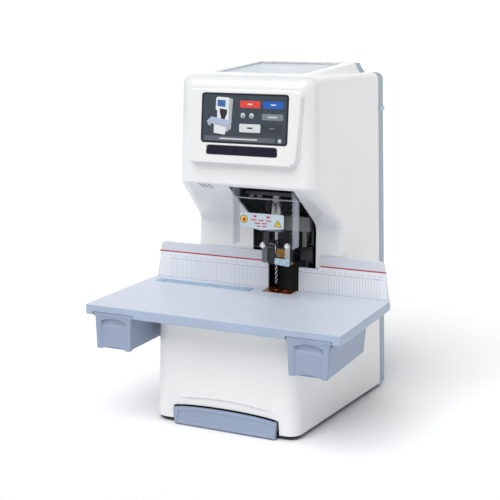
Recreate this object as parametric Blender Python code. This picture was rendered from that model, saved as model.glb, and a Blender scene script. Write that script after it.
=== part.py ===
"""Desktop document drilling and tube-binding machine.

Sizes are in millimetres and are turned into metres where a mesh is made. +X is the machine's right,
+Y runs from the operator to the back, +Z is up. The origin is on the floor under the middle of the
machine. The casing is a C: a base under the work table, a column behind it and a head over it.
"""

import math

import bmesh
import bpy
from mathutils import Matrix, Vector

MM = 0.001
GAP = 0.3

# Whole machine
DEPTH_HALF = 202.5
HEIGHT = 581.0

# Casing plan: half width at the base's front, growth towards the back, draft towards the top
BASE_FRONT_Y = -142.3
BASE_HALF_WIDTH = 126.9
FLARE_PER_MM = 0.1007
DRAFT_PER_MM = 0.0332
SHELL_BOTTOM_Z = 8.0
SHELL_REAR_Y = 175.2
WALL = 3.0

# Casing side profile
TABLE_BOTTOM_Z = 184.5
TABLE_TOP_Z = 200.9
COLUMN_FRONT_Y = 34.1
COLUMN_TOP_Z = 316.0
HEAD_BOTTOM_Z = 390.0
HEAD_FRONT_Y = -71.1
BASE_CORNER = 22.0
COLUMN_CORNER = 12.0
HEAD_CORNER = 30.0

# Roof
ROOF_FRONT_Y = -60.5
ROOF_FRONT_Z = 565.0
ROOF_SLOPE = 0.0625
ROOF_EDGE_Z = 550.0
SHOULDER_Z = 563.0
SHOULDER_X = 107.0
PLATEAU_X = 97.0
ROOF_CORNER = 12.5
ROOF_FRONT_RADIUS = 25.0

# Window in the column and the head's underside
WINDOW_X = (-30.0, 86.0)

# Operating panel: a wedge on the head's face
PANEL_TOP_Z = 545.0
PANEL_TOP_Y = -73.5
PANEL_LEAN = 0.08

# Work table and fences
TABLE_HALF_WIDTH = 220.0
TABLE_BACK_Y = 29.5
ANVIL_NOTCH_X = (1.0, 54.0)
FENCE_THICKNESS = 4.0
FENCE_TOP_Z = 265.0
FENCE_STEP_Z = 242.0

# Drawers under the table
DRAWER_X = (137.5, 203.0)
DRAWER_FRONT_X = (133.5, 203.5)
DRAWER_BOTTOM_Z = 130.0
DRAWER_BACK_Y = -35.0

# Tool axes
DRILL_X = 21.0
DRILL_Y = 17.5
DIE_X = 37.5
SCREW_X = 38.0
SCREW_Y = 39.0
ARM_RIGHT_X = 56.1
MOTOR_X = 62.0
SPINDLE_PULLEY_R = 12.0
MOTOR_PULLEY_R = 8.0

# Drill unit heights
TOP_PLATE_Z = (368.0, 374.0)
CARRIAGE_Z = (304.0, 329.0)
BIT_TIP_Z = 213.0

# Guard
GUARD_X = (-25.4, 82.6)
GUARD_Y = (-59.9, -32.5)
GUARD_Z = (290.5, 386.0)
GUARD_FRONT_TOP_Z = 368.5
GUARD_PIN_Y = -36.0
GUARD_PIN_Z = 366.0

# Tube tray in the roof, measured along the roof from its hinge at the back
LID_HALF_WIDTH = 75.2
TRAY_LENGTH = 180.0
TRAY_REAR_Y = 165.0
TRAY_DEPTH = 42.0
LID_AXIS = (0.0, -3.3, -1.7)

# Electrics at the back
FAN_X = 60.0
FAN_Z = 430.0
INLET_Z = (45.0, 75.0)
ROCKER_AXIS = (196.0, 60.0)
ROCKER_LEAN = 7.0

SMOOTH_ANGLE = math.radians(35)


# ---------------------------------------------------------------- materials

def finish(name, colour, roughness, metallic=0.0, alpha=1.0):
    """A Principled material with one colour."""
    made = bpy.data.materials.new(name)
    made.use_nodes = True
    shader = made.node_tree.nodes["Principled BSDF"]
    shader.inputs["Base Color"].default_value = (*colour, 1.0)
    shader.inputs["Roughness"].default_value = roughness
    shader.inputs["Metallic"].default_value = metallic
    shader.inputs["Alpha"].default_value = alpha
    made.diffuse_color = (*colour, alpha)
    return made


def make_finishes():
    """Every finish of the machine, by name."""
    return {
        "casing": finish("casing_white", (0.83, 0.84, 0.85), 0.35),
        "cover": finish("cover_grey_blue", (0.34, 0.42, 0.49), 0.45),
        "table": finish("table_laminate", (0.62, 0.68, 0.78), 0.4),
        "drawer": finish("drawer_grey_blue", (0.36, 0.44, 0.60), 0.45),
        "black": finish("black_paint", (0.02, 0.02, 0.022), 0.3),
        "rubber": finish("rubber_black", (0.03, 0.03, 0.03), 0.85),
        "screen": finish("screen_glass", (0.05, 0.06, 0.08), 0.1),
        "plate": finish("plate_navy", (0.01, 0.012, 0.03), 0.25),
        "steel": finish("steel_bright", (0.62, 0.63, 0.64), 0.3, 1.0),
        "chrome": finish("chrome", (0.8, 0.8, 0.82), 0.1, 1.0),
        "grey": finish("grey_paint", (0.42, 0.43, 0.44), 0.5),
        "copper": finish("anvil_copper", (0.36, 0.13, 0.03), 0.35, 0.6),
        "brass": finish("brass", (0.65, 0.42, 0.14), 0.3, 1.0),
        "zinc": finish("zinc_blue", (0.55, 0.66, 0.74), 0.35, 0.7),
        "clear": finish("clear_acrylic", (0.85, 0.9, 0.95), 0.05, 0.0, 0.3),
        "symbol": finish("symbol_plate", (0.7, 0.78, 0.82), 0.4),
        "nylon": finish("nylon_blue", (0.55, 0.72, 0.85), 0.4),
        "belt": finish("belt_rubber", (0.03, 0.03, 0.035), 0.7),
        "board": finish("board_green", (0.02, 0.2, 0.08), 0.5),
    }


# ---------------------------------------------------------------- mesh helpers

def clear_scene():
    """Removes every object that the file opened with."""
    for obj in list(bpy.data.objects):
        bpy.data.objects.remove(obj, do_unlink=True)


def new_object(name, mesh_builder, material, origin=(0.0, 0.0, 0.0)):
    """Turns a bmesh in millimetres into an object whose origin is at the given point."""
    bmesh.ops.recalc_face_normals(mesh_builder, faces=mesh_builder.faces)
    bmesh.ops.transform(
        mesh_builder,
        matrix=Matrix.Scale(MM, 4) @ Matrix.Translation(-Vector(origin)),
        verts=mesh_builder.verts,
    )
    mesh = bpy.data.meshes.new(name)
    mesh_builder.to_mesh(mesh)
    mesh_builder.free()
    mesh.shade_smooth()
    mesh.set_sharp_from_angle(angle=SMOOTH_ANGLE)
    obj = bpy.data.objects.new(name, mesh)
    obj.location = Vector(origin) * MM
    if material is not None:
        obj.data.materials.append(material)
    bpy.context.scene.collection.objects.link(obj)
    return obj


def box(name, low, high, material=None, origin=(0.0, 0.0, 0.0)):
    """A box between two corners."""
    low, high = Vector(low), Vector(high)
    builder = bmesh.new()
    bmesh.ops.create_cube(builder, size=1.0)
    size = Matrix.Diagonal((*(high - low), 1.0))
    bmesh.ops.transform(builder, matrix=Matrix.Translation((low + high) / 2) @ size, verts=builder.verts)
    return new_object(name, builder, material, origin)


def loft(name, rings, material=None, origin=(0.0, 0.0, 0.0)):
    """A closed body through rings of equal point count, with a flat cap on the first and the last."""
    builder = bmesh.new()
    rows = [[builder.verts.new(point) for point in ring] for ring in rings]
    count = len(rows[0])
    for lower, upper in zip(rows, rows[1:]):
        for i in range(count):
            j = (i + 1) % count
            builder.faces.new((lower[i], lower[j], upper[j], upper[i]))
    builder.faces.new(rows[0])
    builder.faces.new(rows[-1])
    return new_object(name, builder, material, origin)


def turned(name, stations, axis="Z", centre=(0.0, 0.0), sides=20, material=None, origin=(0.0, 0.0, 0.0)):
    """A turned body. Stations are (distance along the axis, radius); centre is the other two coordinates."""
    rings = []
    for along, radius in stations:
        ring = []
        for i in range(sides):
            angle = 2 * math.pi * i / sides
            a, b = centre[0] + radius * math.cos(angle), centre[1] + radius * math.sin(angle)
            ring.append({"Z": (a, b, along), "Y": (a, along, b), "X": (along, a, b)}[axis])
        rings.append(ring)
    return loft(name, rings, material, origin)


def plate(name, outline, low_y, high_y, material=None, origin=(0.0, 0.0, 0.0)):
    """A plate with an outline of (x, z) points, extruded along Y."""
    rings = [[(x, y, z) for x, z in outline] for y in (low_y, high_y)]
    return loft(name, rings, material, origin)


def corner_arc(centre_x, centre_z, radius, start_deg, end_deg, steps=4):
    """Points of an arc from one angle to another, both included."""
    points = []
    for i in range(steps + 1):
        angle = math.radians(start_deg + (end_deg - start_deg) * i / steps)
        points.append((centre_x + radius * math.cos(angle), centre_z + radius * math.sin(angle)))
    return points


def rounded_rectangle(x0, x1, z0, z1, radius, steps=4):
    """The outline of a rectangle with round corners."""
    return (
        corner_arc(x1 - radius, z0 + radius, radius, -90, 0, steps)
        + corner_arc(x1 - radius, z1 - radius, radius, 0, 90, steps)
        + corner_arc(x0 + radius, z1 - radius, radius, 90, 180, steps)
        + corner_arc(x0 + radius, z0 + radius, radius, 180, 270, steps)
    )


def combine(obj, other, operation):
    """Adds a Boolean with another object, which becomes a hidden helper."""
    modifier = obj.modifiers.new(operation.title(), "BOOLEAN")
    modifier.operation = operation
    modifier.solver = "EXACT"
    modifier.object = other
    other.hide_render = True
    other.display_type = "WIRE"


def cut(obj, *cutters):
    """Takes the cutters out of an object."""
    for cutter in cutters:
        combine(obj, cutter, "DIFFERENCE")


def join(obj, *others):
    """Fuses other bodies into an object."""
    for other in others:
        combine(obj, other, "UNION")


def round_edges(obj, width, segments=2):
    """Bevels the sharp edges of an object."""
    modifier = obj.modifiers.new("Bevel", "BEVEL")
    modifier.width = width * MM
    modifier.segments = segments
    modifier.limit_method = "ANGLE"


# ---------------------------------------------------------------- casing

def half_width(y, z):
    """Half of the casing's outer width at a depth and a height."""
    return BASE_HALF_WIDTH + FLARE_PER_MM * (y - BASE_FRONT_Y) - DRAFT_PER_MM * (z - SHELL_BOTTOM_Z)


def plan_ring(front_y, corner, z, inset, rear_y):
    """The casing's plan at one height: straight sides and two round front corners."""
    radius = corner - inset
    centre_y = front_y + corner
    centre_x = half_width(centre_y, z) - corner
    right = [(half_width(rear_y, z) - inset, rear_y)]
    steps = 6
    for i in range(steps + 1):
        angle = math.radians(90 * i / steps)
        right.append((centre_x + radius * math.cos(angle), centre_y - radius * math.sin(angle)))
    left = [(-x, y) for x, y in reversed(right)]
    return [(x, y, z) for x, y in right + left]


def upper_front(z):
    """Front depth and corner radius of the column and the head at one height."""
    share = min(max((z - COLUMN_TOP_Z) / (HEAD_BOTTOM_Z - COLUMN_TOP_Z), 0.0), 1.0)
    front = COLUMN_FRONT_Y + (HEAD_FRONT_Y - COLUMN_FRONT_Y) * share
    return front, COLUMN_CORNER + (HEAD_CORNER - COLUMN_CORNER) * share


def upper_loft(name, inset, bottom_z, rear_y, material=None):
    """The column and head without a roof, as a closed body."""
    rings = []
    for z in (bottom_z, COLUMN_TOP_Z, HEAD_BOTTOM_Z, 600.0):
        front, corner = upper_front(z)
        rings.append(plan_ring(front + inset, corner, z, inset, rear_y))
    return loft(name, rings, material)


def roof_height(y):
    """Height of the roof's plateau."""
    return ROOF_FRONT_Z + ROOF_SLOPE * (y - ROOF_FRONT_Y)


def roof_body(name, inset, rear_y):
    """Everything below the roof: a section with a plateau, a step and a round shoulder, lofted along Y."""
    rings = []
    round_start = HEAD_FRONT_Y + inset
    depths = [round_start - 6, round_start, round_start + 3, round_start + 9, round_start + 16]
    for y in [*depths, round_start + ROOF_FRONT_RADIUS, rear_y]:
        into = min(max(y - round_start, 0.0), ROOF_FRONT_RADIUS)
        drop = ROOF_FRONT_RADIUS - math.sqrt(ROOF_FRONT_RADIUS**2 - (ROOF_FRONT_RADIUS - into) ** 2)
        limit = ROOF_FRONT_Z + 1 - drop - inset
        if y > round_start + ROOF_FRONT_RADIUS - 1:
            limit = HEIGHT + 1
        edge_x = half_width(y, ROOF_EDGE_Z) - inset
        shoulder_x = min(SHOULDER_X, edge_x - ROOF_CORNER)
        right = [(200.0, 100.0), (200.0, ROOF_EDGE_Z - inset), (edge_x, ROOF_EDGE_Z - inset)]
        right += [(edge_x - 2.5, SHOULDER_Z - 6 - inset), (edge_x - 7, SHOULDER_Z - 2 - inset)]
        right += [(edge_x - ROOF_CORNER, SHOULDER_Z - inset), (shoulder_x - 0.5, SHOULDER_Z + 1 - inset)]
        right += [(PLATEAU_X - inset, roof_height(y) - inset)]
        right = [(x, min(z, limit)) for x, z in right]
        left = [(-x, z) for x, z in reversed(right)]
        rings.append([(x, y, z) for x, z in right + left])
    return loft(name, rings)


def make_base_shell(finishes):
    """White lower casing: a front and two sides, open at the top, bottom and back."""
    rings = [plan_ring(BASE_FRONT_Y, BASE_CORNER, z, 0.0, SHELL_REAR_Y) for z in (SHELL_BOTTOM_Z, 184.2)]
    shell = loft("base_shell", rings, finishes["casing"])
    rear = SHELL_REAR_Y + 20
    hollow = [plan_ring(BASE_FRONT_Y + WALL, BASE_CORNER, z, WALL, rear) for z in (0.0, 190.0)]
    cut(shell, loft("base_hollow", hollow), box("tray_mouth", (-93, -160, 0), (98, -115, 36.8)))
    return shell


def make_vent(index):
    """Cutter for one slanted vent slot in the head's underside."""
    x = -82.0 + 8.0 * index
    low = [(x, -69.5, 370), (x + 4.2, -69.5, 370), (x + 9.2, -57, 370), (x + 5, -57, 370)]
    high = [(a, b, 400) for a, b, _ in low]
    return loft(f"vent_cutter_{index}", [low, high])


def make_upper_shell(finishes):
    """White casing of the column and the head with a window for the drill and a well for the tube tray."""
    shell = upper_loft("upper_shell", 0.0, TABLE_BOTTOM_Z, SHELL_REAR_Y, finishes["casing"])
    combine(shell, roof_body("roof_outer", 0.0, SHELL_REAR_Y + 20), "INTERSECT")
    hollow = upper_loft("upper_hollow", WALL, TABLE_BOTTOM_Z - 10, SHELL_REAR_Y + 15)
    combine(hollow, roof_body("roof_inner", WALL, SHELL_REAR_Y + 30), "INTERSECT")
    window_front = HEAD_FRONT_Y + WALL + 0.5
    window = box("window", (WINDOW_X[0], window_front, 150), (WINDOW_X[1], 60, 410))
    well = box("tray_well", (-78, -TRAY_LENGTH - 0.5, -60), (78, 0.5, 20))
    place_on_roof(well)
    cut(shell, hollow, window, well, *[make_vent(i) for i in range(3)])
    return shell


def cover_outline(inset):
    """The casing's outline at its back, seen from behind, with the roof's steps."""
    bottom, side_top = SHELL_BOTTOM_Z, ROOF_EDGE_Z
    top = roof_height(SHELL_REAR_Y) - 0.5
    bottom_x = half_width(SHELL_REAR_Y, bottom) + 0.4
    top_x = half_width(SHELL_REAR_Y, side_top) + 0.4
    right = [(bottom_x - inset, bottom + inset), (top_x - inset, side_top - inset)]
    right += corner_arc(top_x - ROOF_CORNER, SHOULDER_Z - ROOF_CORNER, ROOF_CORNER - inset, 0, 90)
    right += [(SHOULDER_X, SHOULDER_Z + 1 - inset), (PLATEAU_X, top - inset)]
    left = [(-x, z) for x, z in reversed(right)]
    return right + left


def make_rear_cover(finishes):
    """Grey-blue rear casing: a shallow pan with louvres, a fan grille and a hole for the mains inlet."""
    front = SHELL_REAR_Y + GAP
    stations = ((front, 0.0), (DEPTH_HALF - 3, 0.0), (DEPTH_HALF, 2.5))
    rings = [[(x, y, z) for x, z in cover_outline(inset)] for y, inset in stations]
    cover = loft("rear_cover", rings, finishes["cover"])
    cut(cover, plate("cover_hollow", cover_outline(WALL + 2), front - 10, DEPTH_HALF - WALL))
    for row in range(7):
        z = 250 + 14 * row
        cut(cover, box(f"louvre_{row}", (-70, DEPTH_HALF - 9, z), (70, DEPTH_HALF + 5, z + 5)))
    for column in range(6):
        x = FAN_X - 22.5 + 9 * column
        reach = math.sqrt(26**2 - (x - FAN_X) ** 2)
        low, high = (x - 2, DEPTH_HALF - 9, FAN_Z - reach), (x + 2, DEPTH_HALF + 5, FAN_Z + reach)
        cut(cover, box(f"grille_{column}", low, high))
    cut(cover, box("inlet_hole", (-121, DEPTH_HALF - 9, 44), (-49, DEPTH_HALF + 5, 76)))
    return cover


def make_base_pan(finishes):
    """Black sheet pan under the casing."""
    rear = SHELL_REAR_Y - 1.2
    rings = [plan_ring(BASE_FRONT_Y + 2.5, BASE_CORNER, z, 2.5, rear) for z in (3.6, 7.7)]
    return loft("base_pan", rings, finishes["black"])


def make_feet(finishes):
    """Four rubber feet under the pan."""
    for name, x, y in (
        ("foot_front_left", -105, -112),
        ("foot_front_right", 105, -112),
        ("foot_rear_left", -132, 152),
        ("foot_rear_right", 132, 152),
    ):
        turned(name, ((0.0, 12.0), (3.3, 13.0)), centre=(x, y), material=finishes["rubber"])


# ---------------------------------------------------------------- operating panel

def panel_front(z):
    """Depth of the panel's leaning front at one height."""
    return PANEL_TOP_Y - PANEL_LEAN * (PANEL_TOP_Z - z)


def panel_slab(name, outline, front_offset, back_offset, material=None):
    """A slab that leans with the panel, between two distances behind its front."""
    rings = [[(x, panel_front(z) + d, z) for x, z in outline] for d in (front_offset, back_offset)]
    return loft(name, rings, material)


def make_panel(finishes):
    """The raised panel with the touch screen and the blank name plate let into it."""
    pad = corner_arc(78, 442, 16, -90, -10) + [(101, 532)] + corner_arc(88, 533, 12, 0, 90)
    pad += corner_arc(-88, 533, 12, 90, 180) + [(-101, 532)] + corner_arc(-78, 442, 16, 190, 270)
    rings = [
        [(x, panel_front(z), z) for x, z in pad],
        [(x, HEAD_FRONT_Y - GAP, z) for x, z in pad],
    ]
    bezel = loft("panel_bezel", rings, finishes["casing"])
    screen = rounded_rectangle(-71, 80, 458.6, 537.6, 5)
    label = rounded_rectangle(-60.6, 63.2, 440, 455, 4)
    screen_pocket = rounded_rectangle(-71.4, 80.4, 458.2, 538.0, 5.4)
    label_pocket = rounded_rectangle(-61.0, 63.6, 439.6, 455.4, 4.4)
    cut(bezel, panel_slab("screen_pocket", screen_pocket, -3, 1.5))
    cut(bezel, panel_slab("label_pocket", label_pocket, -3, 1.5))
    panel_slab("touch_screen", screen, -0.1, 1.1, finishes["screen"])
    panel_slab("name_plate", label, -0.1, 1.1, finishes["plate"])


# ---------------------------------------------------------------- table, fences and drawers

def make_table(finishes):
    """The work table with a notch for the anvil and two finger notches for the drawers."""
    low = (-TABLE_HALF_WIDTH, -DEPTH_HALF, TABLE_BOTTOM_Z)
    table = box("work_table", low, (TABLE_HALF_WIDTH, TABLE_BACK_Y, TABLE_TOP_Z), finishes["table"])
    round_edges(table, 2.0)
    x0, x1 = ANVIL_NOTCH_X
    cut(table, box("anvil_notch", (x0, 0.5, 170), (x1, 60, 220)))
    for side in (-1, 1):
        a, b = sorted((side * 131, side * 206))
        cut(table, box(f"finger_notch_{side}", (a, -220, 170), (b, -190, 190.6)))


def make_fences(finishes):
    """Two back fences behind the table, with a gap for the anvil."""
    front, back = TABLE_BACK_Y + GAP, TABLE_BACK_Y + GAP + FENCE_THICKNESS
    left = [(1.0, 186.0), (1.0, FENCE_TOP_Z)] + corner_arc(-199, 258, 7, 90, 170) + [(-219.5, 186.0)]
    right = [(56.5, 186.0), (219.7, 186.0)] + corner_arc(199, 258, 7, 10, 90)
    right += corner_arc(102, 257, 8, 90, 180) + [(94.0, FENCE_STEP_Z), (56.5, FENCE_STEP_Z)]
    plate("fence_left", left, front, back, finishes["casing"])
    plate("fence_right", right, front, back, finishes["casing"])


def drawer_rings(side, inset, bottom_z, top_z):
    """Plan rings of a drawer's tapered box, mirrored for the left one."""
    rings = []
    for z, taper in ((bottom_z, 4.5), (top_z, 0.0)):
        x0, x1 = sorted((side * (DRAWER_X[0] + taper + inset), side * (DRAWER_X[1] - taper - inset)))
        y0, y1 = -198.0 + inset, DRAWER_BACK_Y - taper / 2 - inset
        rings.append([(x0, y0, z), (x1, y0, z), (x1, y1, z), (x0, y1, z)])
    return rings


def make_drawer(finishes, word, side):
    """A parts drawer that hangs on its two inward flanges, with a finger scoop in its front."""
    drawer = loft(f"drawer_{word}", drawer_rings(side, 0.0, DRAWER_BOTTOM_Z, 180.5), finishes["drawer"])
    x0, x1 = sorted((side * DRAWER_FRONT_X[0], side * DRAWER_FRONT_X[1]))
    t0, t1 = x0 + 5, x1 - 5
    front = [(t0, DRAWER_BOTTOM_Z), (t1, DRAWER_BOTTOM_Z), (x1, 187.0), (x0, 187.0)]
    join(drawer, plate(f"drawer_front_{word}", front, -DEPTH_HALF + 0.5, -197.0))
    cavity = loft(f"drawer_cavity_{word}", drawer_rings(side, 2.2, DRAWER_BOTTOM_Z + 2, 178.0))
    slot_x = sorted((side * 146, side * 194.5))
    slot = box(f"drawer_slot_{word}", (slot_x[0], -194, 173.5), (slot_x[1], -20, 200))
    gate_x = sorted((side * 141, side * 199.5))
    gate = box(f"drawer_gate_{word}", (gate_x[0], -42, 173.5), (gate_x[1], -20, 178))
    middle = (x0 + x1) / 2
    stations = ((middle - 22, 9.0), (middle + 22, 9.0))
    grip = turned(f"grip_{word}", stations, "X", (-DEPTH_HALF - 5, 174), sides=16)
    cut(drawer, cavity, slot, gate, grip)


def make_drawer_carrier(finishes, word, side):
    """A hanger under the table: a top strip with two lips that carry the drawer's flanges."""
    half = [(23.0, 184.2), (23.0, 182.2), (21.5, 182.2), (21.5, 176.4), (27.5, 176.4), (27.5, 174.9)]
    half += [(20.0, 174.9), (20.0, 182.2)]
    middle = side * (DRAWER_X[0] + DRAWER_X[1]) / 2
    outline = [(middle + x, z) for x, z in half] + [(middle - x, z) for x, z in reversed(half)]
    plate(f"drawer_carrier_{word}", outline, -192.0, -42.0, finishes["steel"])


# ---------------------------------------------------------------- base inside

def make_chip_tray(finishes):
    """The front drawer for paper chips, with an arched front."""
    tray = box("chip_tray", (-82, -144, 9.5), (92, 40, 29), finishes["drawer"])
    outline = [(-87, 2.0), (93, 2.0), (95.5, 26.5)]
    outline += [(2.5 + 91 * math.cos(a), 26.5 + 8 * math.sin(a)) for a in arc_angles(15, 165, 10)]
    outline += [(-90.5, 26.5)]
    join(tray, plate("tray_front", outline, -150.5, -143.2))
    cut(tray, box("tray_cavity", (-80, -142, 11.5), (90, 38, 45)))


def make_tray_guide(finishes):
    """Sheet channel that the chip tray slides in."""
    guide = box("tray_guide", (-84, -132, 8.0), (94, 42, 34), finishes["steel"])
    cut(guide, box("guide_space", (-82.6, -140, 9.2), (92.6, 60, 40)))


def make_frame(finishes):
    """The steel column on its foot, the beam under the anvil and the two slide rails."""
    column = box("frame_column", (-30, 62, 14), (86, 74, 516), finishes["black"])
    join(column, box("column_foot", (-60, 50, 8), (100, 170, 18)))
    arm = box("lower_arm", (-2, 0, 160), (57, 61.7, 183.8), finishes["black"])
    cut(arm, turned("chute_hole", ((150, 7.4), (190, 7.4)), centre=(DRILL_X, DRILL_Y)))
    cut(arm, turned("die_hole", ((150, 5.9), (190, 5.9)), centre=(DIE_X, DRILL_Y)))
    for name, x in (("rail_left", -22), ("rail_right", 60)):
        rail = box(name, (x, 50, 184.2), (x + 16, 61.7, 367.5), finishes["black"])
        round_edges(rail, 1.5)


def make_anvil(finishes):
    """The copper-brown anvil plate, the lower rivet die in it and the chip chute under it."""
    anvil = box("anvil_plate", (1.4, 0.9, 184.2), (53.6, 36, 201.2), finishes["copper"])
    cut(anvil, turned("drill_hole", ((170, 4.5), (210, 4.5)), centre=(DRILL_X, DRILL_Y)))
    cut(anvil, turned("die_bore", ((170, 5.6), (210, 5.6)), centre=(DIE_X, DRILL_Y)))
    stations = ((146, 8.0), (150, 8.0), (150.3, 5.2), (194, 5.2), (196, 3.6))
    origin = (DIE_X, DRILL_Y, 196)
    turned("lower_die", stations, centre=(DIE_X, DRILL_Y), material=finishes["chrome"], origin=origin)
    stations = ((36, 7.0), (183.9, 7.0))
    chute = turned("chip_chute", stations, centre=(DRILL_X, DRILL_Y), material=finishes["grey"])
    cut(chute, turned("chute_bore", ((30, 5.6), (190, 5.6)), centre=(DRILL_X, DRILL_Y)))


# ---------------------------------------------------------------- drill unit

def make_top_plate(finishes):
    """Grey plate between the column and the head that guides the sleeve and the lead screw."""
    top = box("top_plate", (-24, -12, TOP_PLATE_Z[0]), (80, 61.7, TOP_PLATE_Z[1]), finishes["grey"])
    cut(top, turned("sleeve_hole", ((360, 12.0), (380, 12.0)), centre=(DRILL_X, DRILL_Y), sides=24))
    cut(top, turned("screw_hole", ((360, 5.0), (380, 5.0)), centre=(SCREW_X, SCREW_Y)))


def make_feed(finishes):
    """The lead screw and the motor over it."""
    stations = ((288.0, 3.0), (290.0, 4.0), (479.0, 4.0), (480.0, 3.0), (483.5, 3.0))
    axis = (SCREW_X, SCREW_Y)
    origin = (SCREW_X, SCREW_Y, 483)
    turned("lead_screw", stations, centre=axis, sides=16, material=finishes["steel"], origin=origin)
    motor = box("feed_motor", (22, 31.7, 484), (54, 61.7, 515), finishes["black"])
    round_edges(motor, 2.0)


def make_carriage(finishes):
    """The sliding block, its leg and the nose that carries the sleeve."""
    low, high = CARRIAGE_Z
    origin = (DRILL_X, DRILL_Y, low)
    carriage = box("carriage", (-22, 28, low), (76, 49.7, high), finishes["grey"], origin)
    join(carriage, box("carriage_nose", (8, 6, low), (34, 30, high), None, origin))
    join(carriage, box("carriage_leg", (63, 29, 278), (69.5, 36, low + 5), None, origin))
    bore = ((low - 20, 3.4), (high + 20, 3.4))
    cut(carriage, turned("spindle_bore", bore, centre=(DRILL_X, DRILL_Y)))
    bore = ((low - 20, 4.4), (high + 20, 4.4))
    cut(carriage, turned("screw_bore", bore, centre=(SCREW_X, SCREW_Y)))


def make_spindle(finishes):
    """The sleeve, the spindle in it and the hollow bit."""
    axis = (DRILL_X, DRILL_Y)
    origin = (DRILL_X, DRILL_Y, BIT_TIP_Z)
    stations = ((329.3, 9.6), (334, 9.6), (362, 8.0), (425, 8.0))
    sleeve = turned("spindle_sleeve", stations, "Z", axis, 24, finishes["steel"], origin)
    cut(sleeve, turned("sleeve_bore", ((320, 3.4), (430, 3.4)), centre=axis))
    stations = ((287, 2.6), (289, 3.0), (446, 3.0))
    turned("spindle", stations, centre=axis, material=finishes["steel"], origin=origin)
    stations = ((BIT_TIP_Z, 2.0), (BIT_TIP_Z + 2, 2.3), (286.7, 2.3))
    bit = turned("drill_bit", stations, centre=axis, material=finishes["chrome"], origin=origin)
    cut(bit, turned("bit_bore", ((200, 1.4), (280, 1.4)), centre=axis))


def make_drive(finishes):
    """The drill motor on its bracket, with two pulleys and a belt."""
    spindle_axis, motor_axis = (DRILL_X, DRILL_Y), (MOTOR_X, DRILL_Y)
    bracket = box("motor_bracket", (4, 1, 425.3), (80, 34, 429.3), finishes["grey"])
    cut(bracket, turned("bracket_bore", ((420, 3.6), (435, 3.6)), centre=spindle_axis))
    cut(bracket, turned("shaft_hole", ((420, 5.0), (435, 5.0)), centre=motor_axis))
    stations = ((390, 14.0), (392, 16.0), (425, 16.0))
    turned("drill_motor", stations, centre=motor_axis, sides=24, material=finishes["black"])
    stations = ((426, 2.0), (432.5, 2.0), (432.6, MOTOR_PULLEY_R), (443, MOTOR_PULLEY_R))
    origin = (MOTOR_X, DRILL_Y, 430)
    turned("motor_pulley", stations, centre=motor_axis, sides=24, material=finishes["steel"], origin=origin)
    stations = ((432.6, SPINDLE_PULLEY_R), (443, SPINDLE_PULLEY_R))
    origin = (DRILL_X, DRILL_Y, BIT_TIP_Z)
    pulley = turned("spindle_pulley", stations, "Z", spindle_axis, 24, finishes["steel"], origin)
    cut(pulley, turned("pulley_bore", ((430, 3.3), (445, 3.3)), centre=spindle_axis))
    belt = loft("drive_belt", belt_rings(1.9, 434, 441.5), finishes["belt"])
    cut(belt, loft("belt_space", belt_rings(0.4, 430, 450)))


def belt_rings(grow, low, high):
    """Two plan rings of a loop around both pulleys, at a distance from their rims."""
    wrap = math.degrees(math.asin((SPINDLE_PULLEY_R - MOTOR_PULLEY_R) / (MOTOR_X - DRILL_X)))
    points = []
    for x, radius, start, end in (
        (DRILL_X, SPINDLE_PULLEY_R, 90 - wrap, 270 + wrap),
        (MOTOR_X, MOTOR_PULLEY_R, wrap - 90, 90 - wrap),
    ):
        reach = radius + grow
        points += [(x + reach * math.cos(a), DRILL_Y + reach * math.sin(a)) for a in arc_angles(start, end)]
    return [[(x, y, z) for x, y in points] for z in (low, high)]


def arc_angles(start_deg, end_deg, steps=12):
    """Angles in radians from one to another, both included."""
    return [math.radians(start_deg + (end_deg - start_deg) * i / steps) for i in range(steps + 1)]


# ---------------------------------------------------------------- press and rivet head

def make_presser(finishes):
    """The clamp that holds the stack: an arm around the drill, a bracket, a foot and two knobs."""
    origin = (DRILL_X, DRILL_Y, 248)
    arm = box("presser_arm", (10, 6, 248), (28.5, 31, 283), finishes["black"], origin)
    join(arm, box("arm_back", (12, 29.5, 252), (ARM_RIGHT_X, 38, 276), None, origin))
    join(arm, box("arm_side", (49.9, -2.7, 252), (ARM_RIGHT_X, 49.7, 276), None, origin))
    join(arm, box("arm_shoe", (50, 40, 252), (78, 49.7, 276), None, origin))
    join(arm, box("arm_lug", (45.8, 2.5, 270), (55, 8, 289), None, origin))
    cut(arm, turned("arm_bore", ((240, 5.0), (290, 5.0)), centre=(DRILL_X, DRILL_Y)))
    cut(arm, box("lug_relief", (40, 0, 260), (49.9, 20, 277.5)))
    box("presser_bracket", (-0.5, 5, 250), (9.7, 9, 287), finishes["steel"], origin)
    box("presser_foot", (28, -7, 249), (55, -3, 262), finishes["zinc"], origin)
    stations = ((-4.5, 4.4), (-3.5, 5.3), (4.7, 5.3))
    turned("presser_knob_left", stations, "Y", (4.2, 281), material=finishes["chrome"], origin=origin)
    stations = ((-7, 4.4), (-6, 5.3), (2.2, 5.3))
    turned("presser_knob_right", stations, "Y", (49.5, 283.5), material=finishes["chrome"], origin=origin)
    turned("adjust_screw", ((-6, 2.4), (-3, 2.4)), "Y", (58.5, 255.5), 12, finishes["brass"], origin)


def make_upper_die(finishes):
    """The heated brass block with its punch."""
    origin = (DIE_X, DRILL_Y, 261)
    die = box("upper_die", (30, -2, 262.5), (45, 27, 277), finishes["brass"], origin)
    stations = ((249.5, 2.0), (251, 3.0), (265, 3.0))
    join(die, turned("punch", stations, centre=(DIE_X, DRILL_Y), material=None, origin=origin))


# ---------------------------------------------------------------- guard

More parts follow.
